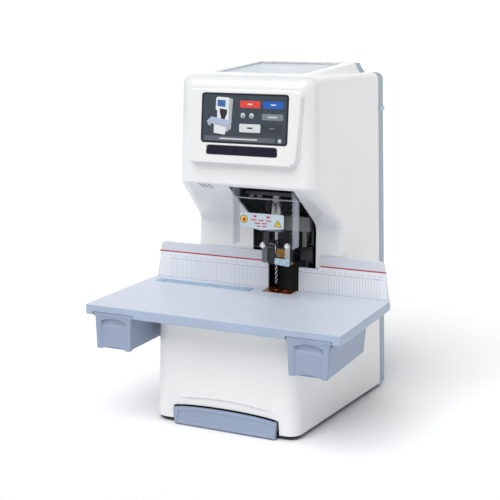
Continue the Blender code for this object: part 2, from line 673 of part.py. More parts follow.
def make_guard(finishes):
    """The clear shield, the pin that it swings on and the symbol plate on its front."""
    origin = (0, GUARD_PIN_Y, GUARD_PIN_Z)
    low = (GUARD_X[0], GUARD_Y[0], GUARD_Z[0])
    guard = box("safety_guard", low, (GUARD_X[1], GUARD_Y[1], GUARD_Z[1]), finishes["clear"], origin)
    space_x = (GUARD_X[0] + 2.5, GUARD_X[1] - 2.5)
    cut(guard, box("guard_space", (space_x[0], GUARD_Y[0] + 2.5, 200), (space_x[1], 20, 400)))
    cut(guard, box("guard_sight", (space_x[0], -80, GUARD_FRONT_TOP_Z), (space_x[1], 20, 400)))
    cut(guard, turned("guard_bore", ((-60, 1.9), (120, 1.9)), "X", (GUARD_PIN_Y, GUARD_PIN_Z), sides=12))
    stations = ((WINDOW_X[0] + 0.4, 1.5), (WINDOW_X[1] - 0.4, 1.5))
    turned("guard_pin", stations, "X", (GUARD_PIN_Y, GUARD_PIN_Z), sides=12, material=finishes["steel"])
    outline = [(-9.6, 323.5), (28, 318.5), (67.4, 323.0), (67.4, 345.6), (-9.6, 345.6)]
    plate("guard_plate", outline, GUARD_Y[0] - 1.8, GUARD_Y[0] - GAP, finishes["symbol"], origin)


# ---------------------------------------------------------------- tube tray

def place_on_roof(*objects):
    """Moves pieces modelled from the tray's back edge onto the sloping roof."""
    tilt = Matrix.Rotation(math.atan(ROOF_SLOPE), 3, "X")
    for obj in objects:
        obj.location = Vector((0, TRAY_REAR_Y, roof_height(TRAY_REAR_Y))) * MM + tilt @ obj.location
        obj.rotation_euler = tilt.to_euler()


def lid_axis_body(name, half_length, radius, material=None, origin=(0.0, 0.0, 0.0)):
    """A round bar along the lid's hinge axis."""
    stations = ((-half_length, radius), (half_length, radius))
    return turned(name, stations, "X", LID_AXIS[1:], 12, material, origin)


def make_tube_tray(finishes):
    """The tray in the roof with a ledge for its lid, the clear lid, the hinge pin and the tubes."""
    tray = box("tube_tray", (-77.6, -TRAY_LENGTH, -TRAY_DEPTH), (77.6, 0, -0.6), finishes["casing"])
    upper = box("lid_space", (-75.6, -TRAY_LENGTH + 2, -4.4), (75.6, -0.9, 10))
    lower = box("tube_space", (-73, -TRAY_LENGTH + 5, -TRAY_DEPTH + 2.5), (73, -6, 10))
    tray_bore = lid_axis_body("tray_bore", 90, 1.3)
    cut(tray, upper, lower, tray_bore)
    low, high = (-LID_HALF_WIDTH, -TRAY_LENGTH + 2.6, -3.2), (LID_HALF_WIDTH, -3.3, 0.3)
    lid = box("top_lid", low, high, finishes["clear"], LID_AXIS)
    bead = lid_axis_body("lid_bead", LID_HALF_WIDTH, 2.0, None, LID_AXIS)
    lid_bore = lid_axis_body("lid_bore", 90, 1.3, None, LID_AXIS)
    join(lid, bead)
    cut(lid, lid_bore)
    pin = lid_axis_body("lid_pin", 77, 1.0, finishes["steel"])
    bundle = box("tube_bundle", (-60, -150, -TRAY_DEPTH + 2.8), (30, -30, -18), finishes["nylon"])
    place_on_roof(tray, upper, lower, tray_bore, lid, bead, lid_bore, pin, bundle)


# ---------------------------------------------------------------- electrics

def make_electrics(finishes):
    """Board, power supply, fan and mains inlet with its rocker switch."""
    box("control_board", (-110, 150, 200), (-50, 152, 330), finishes["board"])
    box("power_supply", (-115, 60, 8), (-66, 150, 60), finishes["steel"])
    frame = box("fan_frame", (FAN_X - 30, 178, FAN_Z - 30), (FAN_X + 30, 198, FAN_Z + 30), finishes["black"])
    cut(frame, turned("fan_bore", ((170, 28.0), (210, 28.0)), "Y", (FAN_X, FAN_Z), sides=24))
    origin = (FAN_X, 188, FAN_Z)
    hub = ((182, 10.0), (194, 10.0))
    fan = turned("cooling_fan", hub, "Y", (FAN_X, FAN_Z), material=finishes["black"], origin=origin)
    for i in range(5):
        angle = 2 * math.pi * i / 5
        along, across = (math.cos(angle), math.sin(angle)), (-math.sin(angle), math.cos(angle))
        rings = []
        for radius in (8.0, 26.5):
            ring = []
            for y, shift in ((184, -5.0), (186, -6.0), (192, 5.0), (190, 6.0)):
                x = FAN_X + radius * along[0] + shift * across[0]
                z = FAN_Z + radius * along[1] + shift * across[1]
                ring.append((x, y, z))
            rings.append(ring)
        join(fan, loft(f"fan_blade_{i}", rings, None, origin))
    low, high = (-120, 178, INLET_Z[0]), (-50, DEPTH_HALF - GAP, INLET_Z[1])
    inlet = box("power_inlet", low, high, finishes["black"])
    cut(inlet, box("socket_hollow", (-114, 188, 49), (-86, 220, 71)))
    cut(inlet, box("switch_hollow", (-78, 186, 50), (-56, 220, 70)))
    make_rocker(finishes)


def make_rocker(finishes):
    """The switch's rocker, which rests tilted with its lower half pressed in."""
    pivot_y, pivot_z = ROCKER_AXIS
    profile = [(0, -8.5), (5.2, -8.5), (3.2, 0), (5.2, 8.5), (0, 8.5), (-4, 0)]
    lean = math.radians(-ROCKER_LEAN)
    turned_profile = [
        (pivot_y + y * math.cos(lean) - z * math.sin(lean), pivot_z + y * math.sin(lean) + z * math.cos(lean))
        for y, z in profile
    ]
    rings = [[(x, y, z) for y, z in turned_profile] for x in (-77.3, -56.7)]
    loft("power_switch", rings, finishes["rubber"], (-67, pivot_y, pivot_z))


def main():
    """Builds the machine."""
    clear_scene()
    finishes = make_finishes()
    make_base_pan(finishes)
    make_feet(finishes)
    make_base_shell(finishes)
    make_upper_shell(finishes)
    make_rear_cover(finishes)
    make_panel(finishes)
    make_table(finishes)
    make_fences(finishes)
    for word, side in (("left", -1), ("right", 1)):
        make_drawer(finishes, word, side)
        make_drawer_carrier(finishes, word, side)
    make_chip_tray(finishes)
    make_tray_guide(finishes)
    make_frame(finishes)
    make_anvil(finishes)
    make_top_plate(finishes)
    make_feed(finishes)
    make_carriage(finishes)
    make_spindle(finishes)
    make_drive(finishes)
    make_presser(finishes)
    make_upper_die(finishes)
    make_guard(finishes)
    make_tube_tray(finishes)
    make_electrics(finishes)


main()
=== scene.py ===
"""Looks of a desktop machine that drills a stack of paper and rivets nylon tubes through it.

Lengths are in millimetres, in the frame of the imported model: +X is the machine's right, +Y runs from
the operator to the back, +Z is up, and the origin is on the floor under the middle. A mesh is turned
into metres only where it is made. Casings, table, drawers and tools are surfaces worked out on grids;
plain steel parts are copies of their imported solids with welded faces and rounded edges.
"""

import logging
import math
from dataclasses import dataclass
from enum import Enum
from typing import Sequence

import bmesh
import bpy
import numpy as np
from mathutils import Matrix, Vector


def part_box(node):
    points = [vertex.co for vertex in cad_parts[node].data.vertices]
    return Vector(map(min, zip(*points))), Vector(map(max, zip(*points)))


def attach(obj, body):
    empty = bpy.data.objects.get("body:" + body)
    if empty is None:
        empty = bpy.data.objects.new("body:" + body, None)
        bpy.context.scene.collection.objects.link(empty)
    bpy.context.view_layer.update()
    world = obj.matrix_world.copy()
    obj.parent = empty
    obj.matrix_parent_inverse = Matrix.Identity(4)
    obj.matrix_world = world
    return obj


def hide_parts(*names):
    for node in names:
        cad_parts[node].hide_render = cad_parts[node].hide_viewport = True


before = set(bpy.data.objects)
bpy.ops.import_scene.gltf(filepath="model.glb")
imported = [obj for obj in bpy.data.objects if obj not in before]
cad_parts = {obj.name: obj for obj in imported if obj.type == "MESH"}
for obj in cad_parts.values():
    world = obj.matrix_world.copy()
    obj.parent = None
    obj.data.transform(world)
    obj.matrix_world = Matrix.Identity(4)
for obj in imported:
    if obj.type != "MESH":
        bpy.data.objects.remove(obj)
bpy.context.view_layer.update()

MM = 0.001
WELD = 2e-6
LOG = logging.getLogger("binder")

Pair = tuple[float, float]
Triple = tuple[float, float, float]


class Facing(Enum):
    """Which way a flat outline (across, up) is thickened: its value is the order that makes x, y, z."""

    UP = (0, 1, 2)
    BACK = (0, 2, 1)
    RIGHT = (2, 0, 1)


# ---------------------------------------------------------------- shapes

def smoothstep(share: np.ndarray) -> np.ndarray:
    """Three times the square less twice the cube of a share that is first held between 0 and 1."""
    held = np.clip(share, 0.0, 1.0)
    return held * held * (3.0 - 2.0 * held)


def facing_points(across: np.ndarray, up: np.ndarray, along: np.ndarray, facing: Facing) -> np.ndarray:
    """Puts three equal arrays in the order that a facing asks for.

    Args:
        across: First coordinate of the flat outline.
        up: Second coordinate of the flat outline.
        along: Coordinate through the thickness.
        facing: Which way the outline faces.

    Returns:
        An array with x, y and z as its last axis.
    """
    stacked = np.stack(np.broadcast_arrays(across, up, along), -1)
    return stacked[..., list(facing.value)]


def lattice(rows: int, columns: int, wrap: bool) -> np.ndarray:
    """Quads between neighbouring points of a grid.

    Args:
        rows: Number of rows.
        columns: Number of points in a row.
        wrap: Whether the last column joins the first.

    Returns:
        An array of four point numbers per quad.
    """
    row = np.arange(rows - 1)[:, None] * columns
    column = np.arange(columns if wrap else columns - 1)[None, :]
    after = (column + 1) % columns
    quads = np.stack([row + column, row + after, row + columns + after, row + columns + column], -1)
    return quads.reshape(-1, 4)


def solid(name: str, points: np.ndarray, faces: list[list[int]]) -> bpy.types.Object:
    """A mesh object from points in millimetres, with doubles welded and faces turned outwards.

    Args:
        name: Name of the piece.
        points: Points in the machine's frame.
        faces: Point numbers of each face.

    Returns:
        The new object, at the origin.
    """
    mesh = bpy.data.meshes.new(name)
    mesh.from_pydata((np.asarray(points, float).reshape(-1, 3) * MM).tolist(), [], faces)
    work = bmesh.new()
    work.from_mesh(mesh)
    bmesh.ops.remove_doubles(work, verts=work.verts, dist=WELD)
    bmesh.ops.recalc_face_normals(work, faces=work.faces)
    work.to_mesh(mesh)
    work.free()
    body = bpy.data.objects.new(name, mesh)
    bpy.context.scene.collection.objects.link(body)
    return body


def skin(name: str, rings: np.ndarray) -> bpy.types.Object:
    """A closed body: rings of equal length joined in order, with a face over the first and the last.

    Args:
        name: Name of the piece.
        rings: Array of rings, of points in a ring, and of x, y, z.

    Returns:
        The new object.
    """
    rows, columns = rings.shape[:2]
    faces = lattice(rows, columns, True).tolist()
    faces += [list(range(columns)), list(range((rows - 1) * columns, rows * columns))]
    return solid(name, rings, faces)


def rounded(corners: Sequence[Pair], radii: float | Sequence[float], steps: int = 6) -> np.ndarray:
    """A closed outline with an arc at each corner.

    The arc's centre lies on the corner's bisector at radius / sin(half angle), and its points turn
    evenly from one tangent point to the other.

    Args:
        corners: Corners in order, counter-clockwise.
        radii: One radius, or one for each corner.
        steps: Number of steps in an arc.

    Returns:
        The outline's points.
    """
    corner = np.asarray(corners, float)
    radius = np.maximum(np.broadcast_to(np.asarray(radii, float), len(corner)), 0.05)
    back = np.roll(corner, 1, 0) - corner
    ahead = np.roll(corner, -1, 0) - corner
    back /= np.linalg.norm(back, axis=1, keepdims=True)
    ahead /= np.linalg.norm(ahead, axis=1, keepdims=True)
    half = np.arccos(np.clip((back * ahead).sum(1), -1, 1)) / 2
    middle = back + ahead
    middle /= np.linalg.norm(middle, axis=1, keepdims=True)
    centre = corner + middle * (radius / np.sin(half))[:, None]
    reach = (radius / np.tan(half))[:, None]
    first, last = corner + back * reach - centre, corner + ahead * reach - centre
    turn = (math.pi - 2 * half)[:, None, None]
    share = np.linspace(0, 1, steps + 1)[None, :, None]
    arcs = np.sin((1 - share) * turn) * first[:, None] + np.sin(share * turn) * last[:, None]
    return (centre[:, None] + arcs / np.sin(turn)).reshape(-1, 2)


def rectangle(across: Pair, up: Pair, radius: float, steps: int = 6) -> np.ndarray:
    """A rounded rectangle's outline.

    Args:
        across: Lowest and highest first coordinate.
        up: Lowest and highest second coordinate.
        radius: Radius of the four corners.
        steps: Number of steps in an arc.

    Returns:
        The outline's points.
    """
    (x0, x1), (z0, z1) = across, up
    return rounded([(x0, z0), (x1, z0), (x1, z1), (x0, z1)], radius, steps)


def inset(outline: np.ndarray, distance: float | np.ndarray) -> np.ndarray:
    """Moves each point of a counter-clockwise outline inwards, along the mitre of its two edges.

    Args:
        outline: Points of a closed outline.
        distance: How far, and outwards where it is negative.

    Returns:
        The moved points.
    """
    ahead = np.roll(outline, -1, 0) - outline
    ahead /= np.maximum(np.linalg.norm(ahead, axis=1, keepdims=True), 1e-9)
    left = np.stack([-ahead[:, 1], ahead[:, 0]], -1)
    both = left + np.roll(left, 1, 0)
    return outline + both / (both * left).sum(1, keepdims=True) * distance


def edges(low: float, high: float, low_radius: float, high_radius: float, steps: int = 4) -> np.ndarray:
    """Heights and insets of a slab whose two rims are quarter circles, each with a narrow flat inside it.

    Args:
        low: Height of the first face.
        high: Height of the second face.
        low_radius: Radius of the first rim.
        high_radius: Radius of the second rim.
        steps: Steps in a quarter circle.

    Returns:
        Rows of height and inset.
    """
    turn = np.linspace(0, math.pi / 2, steps + 1)
    first = np.stack([low + low_radius * (1 - np.cos(turn)), low_radius * (1 - np.sin(turn))], -1)
    last = np.stack([high - high_radius * (1 - np.cos(turn)), high_radius * (1 - np.sin(turn))], -1)
    ends = [(low, low_radius + 0.3)], [(high, high_radius + 0.3)]
    return np.concatenate([ends[0], first, last[::-1], ends[1]])


def slab(name: str, outline: np.ndarray, stations: np.ndarray, facing: Facing) -> bpy.types.Object:
    """An outline carried through its thickness, set in or out on the way.

    Args:
        name: Name of the piece.
        outline: Counter-clockwise outline.
        stations: Rows of height and inset.
        facing: Which way the outline faces.

    Returns:
        The new object.
    """
    flat = [inset(outline, step) for _, step in stations]
    rings = [facing_points(f[:, 0], f[:, 1], height, facing) for f, (height, _) in zip(flat, stations)]
    return skin(name, np.stack(rings))


def softened(profile: Sequence[Pair], radius: float, steps: int = 3) -> np.ndarray:
    """An open profile with a small arc at each inner corner.

    Args:
        profile: Points of the profile.
        radius: Radius of the arcs, made smaller where a stretch is short.
        steps: Steps in an arc.

    Returns:
        The profile's new points.
    """
    points = np.asarray(profile, float)
    inner = points[1:-1]
    back, ahead = points[:-2] - inner, points[2:] - inner
    room = np.minimum(np.linalg.norm(back, axis=1), np.linalg.norm(ahead, axis=1)) * 0.45
    back /= np.linalg.norm(back, axis=1, keepdims=True)
    ahead /= np.linalg.norm(ahead, axis=1, keepdims=True)
    reach = np.minimum(room, radius)[:, None, None]
    share = np.linspace(0, 1, steps + 1)[None, :, None]
    first, last = inner[:, None] + back[:, None] * reach, inner[:, None] + ahead[:, None] * reach
    bent = (1 - share) ** 2 * first + 2 * share * (1 - share) * inner[:, None] + share**2 * last
    return np.concatenate([points[:1], bent.reshape(-1, 2), points[-1:]])


def turned(name: str, profile: Sequence[Pair], centre: Pair, facing: Facing = Facing.UP,
           radius: float = 0.3, sides: int = 48) -> bpy.types.Object:
    """A lathe-turned body: a profile of (along, radius) carried round an axis, with softened corners.

    Args:
        name: Name of the piece.
        profile: Points along the axis and their radii.
        centre: Where the axis is, across and up.
        facing: Direction of the axis.
        radius: Size of the softening at the profile's corners.
        sides: Number of points round the axis.

    Returns:
        The new object.
    """
    rows = softened(profile, radius)
    turn = np.linspace(0, 2 * math.pi, sides, endpoint=False)[None, :]
    along, reach = rows[:, :1], rows[:, 1:]
    across, up = centre[0] + reach * np.cos(turn), centre[1] + reach * np.sin(turn)
    return skin(name, facing_points(across, up, along + 0 * turn, facing))


def pipe(name: str, outer: float, inner: float, span: Pair, centre: Pair, facing: Facing,
         sides: int = 32) -> bpy.types.Object:
    """A tube: a rectangle of wall carried round an axis, closed on itself.

    Args:
        name: Name of the piece.
        outer: Outer radius.
        inner: Inner radius.
        span: Where it starts and ends along the axis.
        centre: Where the axis is, across and up.
        facing: Direction of the axis.
        sides: Number of points round the axis.

    Returns:
        The new object.
    """
    wall = rectangle(span, (inner, outer), min(0.3, (outer - inner) * 0.3), 2)
    turn = np.linspace(0, 2 * math.pi, sides, endpoint=False)[None, :]
    along, reach = wall[:, :1], wall[:, 1:]
    across, up = centre[0] + reach * np.cos(turn), centre[1] + reach * np.sin(turn)
    grid = facing_points(across, up, along + 0 * turn, facing)
    grid = np.concatenate([grid, grid[:1]])
    return solid(name, grid, lattice(len(grid), sides, True).tolist())


def smooth_path(points: Sequence[Triple], count: int) -> np.ndarray:
    """Points of the smooth curve through some knots: each stretch is a Hermite cubic whose slopes are
    half the step between a knot's neighbours.

    Args:
        points: The knots.
        count: How many points to return.

    Returns:
        The curve's points.
    """
    knot = np.asarray(points, float)
    slope = np.gradient(knot, axis=0)
    place = np.linspace(0, len(knot) - 1, count)
    index = np.minimum(place.astype(int), len(knot) - 2)
    t = (place - index)[:, None]
    start, stop, out, back = knot[index], knot[index + 1], slope[index], slope[index + 1]
    return ((2 * t**3 - 3 * t**2 + 1) * start + (t**3 - 2 * t**2 + t) * out
            + (3 * t**2 - 2 * t**3) * stop + (t**3 - t**2) * back)


def wire(name: str, points: Sequence[Triple], radius: float, reference: Triple = (0, 0, 1),
         count: int = 40, sides: int = 10) -> bpy.types.Object:
    """A round wire: a circle carried along a smooth curve, square to it.

    Args:
        name: Name of the piece.
        points: Knots of the curve.
        radius: Radius of the wire.
        reference: A direction that the curve never takes.
        count: Rings along the curve.
        sides: Points in a ring.

    Returns:
        The new object.
    """
    path = smooth_path(points, count)
    tangent = np.gradient(path, axis=0)
    side = np.cross(tangent, np.asarray(reference, float))
    side /= np.linalg.norm(side, axis=1, keepdims=True)
    lift = np.cross(side, tangent)
    lift /= np.linalg.norm(lift, axis=1, keepdims=True)
    turn = np.linspace(0, 2 * math.pi, sides, endpoint=False)[None, :, None]
    return skin(name, path[:, None] + radius * (np.cos(turn) * side[:, None] + np.sin(turn) * lift[:, None]))


def settle(body: bpy.types.Object) -> bpy.types.Object:
    """Replaces a piece's mesh by what its modifiers make of it.

    Args:
        body: The piece.

    Returns:
        The piece.
    """
    bpy.context.view_layer.update()
    graph = bpy.context.evaluated_depsgraph_get()
    mesh = bpy.data.meshes.new_from_object(body.evaluated_get(graph))
    body.modifiers.clear()
    body.data = mesh
    return body


def discard(body: bpy.types.Object) -> None:
    """Removes a helper from the scene."""
    bpy.data.objects.remove(body, do_unlink=True)


def carve(body: bpy.types.Object, *cutters: bpy.types.Object) -> bpy.types.Object:
    """Takes cutters away from a piece and removes them.

    Args:
        body: The piece.
        *cutters: What is taken away.

    Returns:
        The piece.
    """
    for cutter in cutters:
        modifier = body.modifiers.new("Cut", "BOOLEAN")
        modifier.operation, modifier.solver, modifier.object = "DIFFERENCE", "EXACT", cutter
    settle(body)
    for cutter in cutters:
        discard(cutter)
    return body


def bevelled(body: bpy.types.Object, width: float, angle: float = 40.0, segments: int = 2) -> bpy.types.Object:
    """Rounds a piece's sharp edges.

    Args:
        body: The piece.
        width: Width of the rounding.
        angle: Angle in degrees above which an edge is rounded.
        segments: Faces across a rounding.

    Returns:
        The piece.
    """
    modifier = body.modifiers.new("Round", "BEVEL")
    modifier.width, modifier.segments = width * MM, segments
    modifier.limit_method, modifier.angle_limit = "ANGLE", math.radians(angle)
    return settle(body)


def gathered(name: str, parts: Sequence[bpy.types.Object]) -> bpy.types.Object:
    """One object from the meshes of several, which are then removed.

    Args:
        name: Name of the new piece.
        parts: What it is made from.

    Returns:
        The new object.
    """
    work = bmesh.new()
    for part in parts:
        work.from_mesh(part.data)
    mesh = bpy.data.meshes.new(name)
    work.to_mesh(mesh)
    work.free()
    for part in parts:
        discard(part)
    body = bpy.data.objects.new(name, mesh)
    bpy.context.scene.collection.objects.link(body)
    return body


def refined(node: str, name: str, width: float) -> bpy.types.Object:
    """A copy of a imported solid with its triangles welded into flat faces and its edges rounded.

    Args:
        node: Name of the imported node.
        name: Name of the new piece.
        width: Width of the rounding.

    Returns:
        The new object.
    """
    work = bmesh.new()
    work.from_mesh(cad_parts[node].data)
    bmesh.ops.remove_doubles(work, verts=work.verts, dist=WELD)
    bmesh.ops.dissolve_limit(work, angle_limit=math.radians(0.4), verts=work.verts, edges=work.edges)
    mesh = bpy.data.meshes.new(name)
    work.to_mesh(mesh)
    work.free()
    body = bpy.data.objects.new(name, mesh)
    bpy.context.scene.collection.objects.link(body)
    return bevelled(body, width, 35.0)


# ---------------------------------------------------------------- finishes

def tint(red: float, green: float, blue: float) -> tuple[float, float, float, float]:
    """A colour given as display values from 0 to 255, as light with an alpha of 1."""
    share = np.array([red, green, blue]) / 255
    light = np.where(share <= 0.04045, share / 12.92, ((share + 0.055) / 1.055) ** 2.4)
    return (float(light[0]), float(light[1]), float(light[2]), 1.0)


class Recipe:
    """The node tree of one material, with short ways to add to it."""

    def __init__(self, name: str) -> None:
        """Starts a material with its shader and its object coordinates.

        Args:
            name: Name of the material.
        """
        self.material = bpy.data.materials.new(name)
        self.material.use_nodes = True
        self.tree = self.material.node_tree
        self.shader = self.tree.nodes["Principled BSDF"]
        self.place = self.tree.nodes.new("ShaderNodeTexCoord").outputs["Object"]

    def add(self, kind: str, inputs: dict | None = None, **settings) -> bpy.types.Node:
        """Adds a node.

        Args:
            kind: Blender's name of the node type.
            inputs: Values or sockets for its inputs, by name or number.
            **settings: Values of its properties.

        Returns:
            The node.
        """
        node = self.tree.nodes.new(kind)
        for key, value in settings.items():
            setattr(node, key, value)
        for key, value in (inputs or {}).items():
            if isinstance(value, bpy.types.NodeSocket):
                self.tree.links.new(value, node.inputs[key])
            else:
                node.inputs[key].default_value = value
        return node

    def noise(self, size: float, detail: float = 2.0, stretch: Triple = (1, 1, 1)) -> bpy.types.NodeSocket:
        """Noise in patches, stretched along an axis on request.

        Args:
            size: Width of a patch in millimetres.
            detail: How many finer layers are added.
            stretch: Scale along each axis, where less than 1 makes patches longer.

        Returns:
            The noise's socket.
        """
        scaled = self.add("ShaderNodeMapping", {"Vector": self.place, "Scale": stretch})
        values = {"Vector": scaled.outputs[0], "Scale": 1 / (size * MM), "Detail": detail}
        return self.add("ShaderNodeTexNoise", values).outputs["Fac"]

    def between(self, value: bpy.types.NodeSocket, low: float, high: float,
                start: float = 0.3, stop: float = 0.7) -> bpy.types.NodeSocket:
        """Maps a value from one stretch onto another, held at both ends.

        Args:
            value: The value's socket.
            low: Result at start and before it.
            high: Result at stop and after it.
            start: Where the value's stretch starts.
            stop: Where it ends.

        Returns:
            The result's socket.
        """
        values = {"Value": value, "From Min": start, "From Max": stop, "To Min": low, "To Max": high}
        return self.add("ShaderNodeMapRange", values).outputs[0]

    def mixed(self, share: bpy.types.NodeSocket, first, second) -> bpy.types.NodeSocket:
        """A colour between two colours."""
        return self.add("ShaderNodeMix", {0: share, 6: first, 7: second}, data_type="RGBA").outputs[2]

    def bumped(self, height: bpy.types.NodeSocket, depth: float, below=None) -> bpy.types.NodeSocket:
        """A normal bent by a height.

        Args:
            height: The height's socket.
            depth: How deep the height goes, in millimetres.
            below: A bent normal that this one lies over.

        Returns:
            The normal's socket.
        """
        values = {"Height": height, "Distance": depth * MM, "Strength": 1.0}
        if below is not None:
            values["Normal"] = below
        return self.add("ShaderNodeBump", values).outputs[0]

    def wire(self, **sockets: bpy.types.NodeSocket) -> None:
        """Links sockets to the shader's inputs, where _ stands for a space."""
        for key, socket in sockets.items():
            self.tree.links.new(socket, self.shader.inputs[key.replace("_", " ")])

    def fix(self, **values: float) -> None:
        """Sets the shader's own inputs, where _ stands for a space."""
        for key, value in values.items():
            self.shader.inputs[key.replace("_", " ")].default_value = value


@dataclass(frozen=True)
class Finish:
    """A moulded or painted surface.

    Its colour drifts by a few percent in broad patches, its gloss changes as handling leaves it, and
    its relief is a fine grain over a very shallow waviness.
    """

    name: str
    slot: str
    colour: tuple[float, float, float, float]
    roughness: float = 0.4
    metallic: float = 0.0
    drift: float = 0.04
    drift_size: float = 60.0
    spread: float = 0.06
    grain: float = 0.01
    grain_size: float = 0.6
    wave: float = 0.02
    coat: float = 0.0

    def shaded(self, share: float) -> tuple[float, float, float, float]:
        """The colour made darker or lighter by a share."""
        red, green, blue, alpha = self.colour
        return (red * share, green * share, blue * share, alpha)

    def colours(self, recipe: Recipe) -> bpy.types.NodeSocket:
        """Broad patches between a darker and a lighter tone of the colour."""
        patches = recipe.between(recipe.noise(self.drift_size), 0.0, 1.0)
        return recipe.mixed(patches, self.shaded(1 - self.drift), self.shaded(1 + self.drift))

    def gloss(self, recipe: Recipe) -> bpy.types.NodeSocket:
        """Roughness that drifts about its middle in smeared patches."""
        patches = recipe.noise(14.0, 4.0, (1.0, 1.0, 0.45))
        low, high = max(self.roughness - self.spread, 0.02), self.roughness + self.spread
        return recipe.between(patches, low, high)

    def relief(self, recipe: Recipe) -> bpy.types.NodeSocket:
        """A fine grain over a shallow waviness."""
        wavy = recipe.bumped(recipe.noise(90.0, 0.0), self.wave)
        return recipe.bumped(recipe.noise(self.grain_size), self.grain, wavy)

    def extras(self, recipe: Recipe) -> None:
        """Settings that only some finishes have."""

    def material(self) -> bpy.types.Material:
        """The finish as a material, made once."""
        made = bpy.data.materials.get(self.name)
        if made:
            return made
        recipe = Recipe(self.name)
        recipe.wire(Base_Color=self.colours(recipe), Roughness=self.gloss(recipe), Normal=self.relief(recipe))
        recipe.fix(Metallic=self.metallic, Coat_Weight=self.coat, Coat_Roughness=0.08)
        self.extras(recipe)
        recipe.material.diffuse_color = self.colour
        return recipe.material


@dataclass(frozen=True)
class BrushedFinish(Finish):
    """Metal with fine scratches along one axis."""

    stretch: Triple = (1.0, 1.0, 0.03)

    def gloss(self, recipe: Recipe) -> bpy.types.NodeSocket:
        """Roughness that follows the scratches."""
        scratches = recipe.noise(0.8, 3.0, self.stretch)
        return recipe.between(scratches, max(self.roughness - self.spread, 0.04), self.roughness + self.spread)

    def relief(self, recipe: Recipe) -> bpy.types.NodeSocket:
        """Scratches as a very shallow relief."""
        return recipe.bumped(recipe.noise(0.5, 3.0, self.stretch), self.grain)


@dataclass(frozen=True)
class HeatedFinish(Finish):
    """Copper that heat has coloured, from orange through brown to a dark bloom, with fine pitting."""

    dark: tuple[float, float, float, float] = (0.012, 0.006, 0.004, 1.0)

    def colours(self, recipe: Recipe) -> bpy.types.NodeSocket:
        """Orange-brown metal with dark blooms and a redder rim round them."""
        bloom = recipe.between(recipe.noise(11.0, 3.0), 0.0, 1.0, 0.42, 0.66)
        rim = recipe.between(recipe.noise(6.0, 2.0), 0.0, 1.0, 0.35, 0.6)
        warm = recipe.mixed(rim, self.shaded(0.55), self.shaded(1.35))
        return recipe.mixed(bloom, warm, self.dark)


@dataclass(frozen=True)
class ClearFinish(Finish):
    """Clear acrylic: seen square on it hardly shows, and towards its edges it turns pale and solid."""

    least: float = 0.004
    most: float = 0.62
    rise: Pair = (0.22, 0.95)

    def extras(self, recipe: Recipe) -> None:
        """Opacity grows with the angle between the surface and the eye, and with faint smears.

        Args:
            recipe: The material's recipe.
        """
        facing = recipe.add("ShaderNodeLayerWeight", {"Blend": 0.5}).outputs["Facing"]
        smears = recipe.between(recipe.noise(9.0, 4.0), 0.0, 0.003)
        edge = recipe.between(facing, self.least, self.most, *self.rise)
        recipe.wire(Alpha=recipe.add("ShaderNodeMath", {0: edge, 1: smears}, operation="ADD").outputs[0])
        recipe.fix(IOR=1.49)


@dataclass(frozen=True)
class LitFinish(Finish):
    """Part of a lit display: it glows a little with its own colour, in faint rows."""

    glow: float = 0.12

    def colours(self, recipe: Recipe) -> bpy.types.NodeSocket:
        """Rows of slightly darker and lighter light."""
        rows = recipe.add("ShaderNodeTexWave", {"Vector": recipe.place, "Scale": 500.0, "Distortion": 0.0},
                          wave_type="BANDS", bands_direction="Z").outputs["Fac"]
        return recipe.mixed(rows, self.shaded(0.92), self.shaded(1.08))

    def extras(self, recipe: Recipe) -> None:
        """Its own light."""
        recipe.fix(Emission_Color=self.colour, Emission_Strength=self.glow)


@dataclass(frozen=True)
class SpeckledFinish(Finish):
    """Laminate or textured plastic with a fine speckle of darker points."""

    speckle: float = 0.06

    def colours(self, recipe: Recipe) -> bpy.types.NodeSocket:
        """Broad drift with fine darker speckles over it."""
        base = super().colours(recipe)
        dots = recipe.between(recipe.noise(1.1, 1.0), 0.0, 1.0, 0.56, 0.72)
        return recipe.mixed(dots, base, self.shaded(1 - self.speckle * 3))


@dataclass(frozen=True)
class FlutedFinish(BrushedFinish):
    """Metal with painted shade in its grooves: they are darkened after the depth kept with each point of the
    mesh.
    """

    # Colour of the painted shade in the grooves.
    groove: tuple[float, float, float, float] = (0.01, 0.01, 0.011, 1.0)

    def colours(self, recipe: Recipe) -> bpy.types.NodeSocket:
        """The metal's own colour on the crests and a near-black painted shade in the grooves."""
        deep = recipe.add("ShaderNodeAttribute", attribute_name="groove").outputs["Fac"]
        return recipe.mixed(recipe.between(deep, 0.0, 1.0, 0.35, 0.75), super().colours(recipe), self.groove)


CASING = Finish("white_gloss_casing", "casing", tint(229, 230, 230), 0.2, spread=0.05, drift=0.012, wave=0.05,
                coat=0.35)
COVER = SpeckledFinish("blue_grey_cover", "cover", tint(152, 168, 180), 0.42, grain=0.03, grain_size=0.9)
TABLE = SpeckledFinish("pale_blue_table", "table", tint(202, 209, 222), 0.4, grain=0.02, grain_size=1.2,
                       speckle=0.03, drift=0.02, drift_size=120.0)
# A darker copy of the table's finish: painted shade for the table's upright edge faces.
EDGE_SHADE = SpeckledFinish("table_edge_painted_shade", "table", tint(160, 174, 196), 0.42, grain=0.02, grain_size=1.2,
                      speckle=0.03)
DRAWER = SpeckledFinish("blue_grey_drawer", "drawer", tint(144, 157, 181), 0.45, grain=0.03, grain_size=0.8)
BLACK = Finish("black_enamel", "black", tint(13, 13, 16), 0.28, spread=0.08, drift=0.2, wave=0.04, coat=0.15)
MATT = Finish("black_crackle", "black", tint(19, 19, 22), 0.5, grain=0.05, grain_size=1.4, drift=0.15)
RUBBER = Finish("black_rubber", "rubber", tint(36, 36, 38), 0.7, grain=0.05, grain_size=0.5)
STEEL = BrushedFinish("brushed_steel", "steel", tint(176, 178, 182), 0.3, metallic=1.0, spread=0.1, grain=0.01)
LATHE = BrushedFinish("turned_steel", "steel", tint(160, 160, 164), 0.28, metallic=0.85, spread=0.03,
                      grain=0.012, stretch=(0.05, 0.05, 1.0))
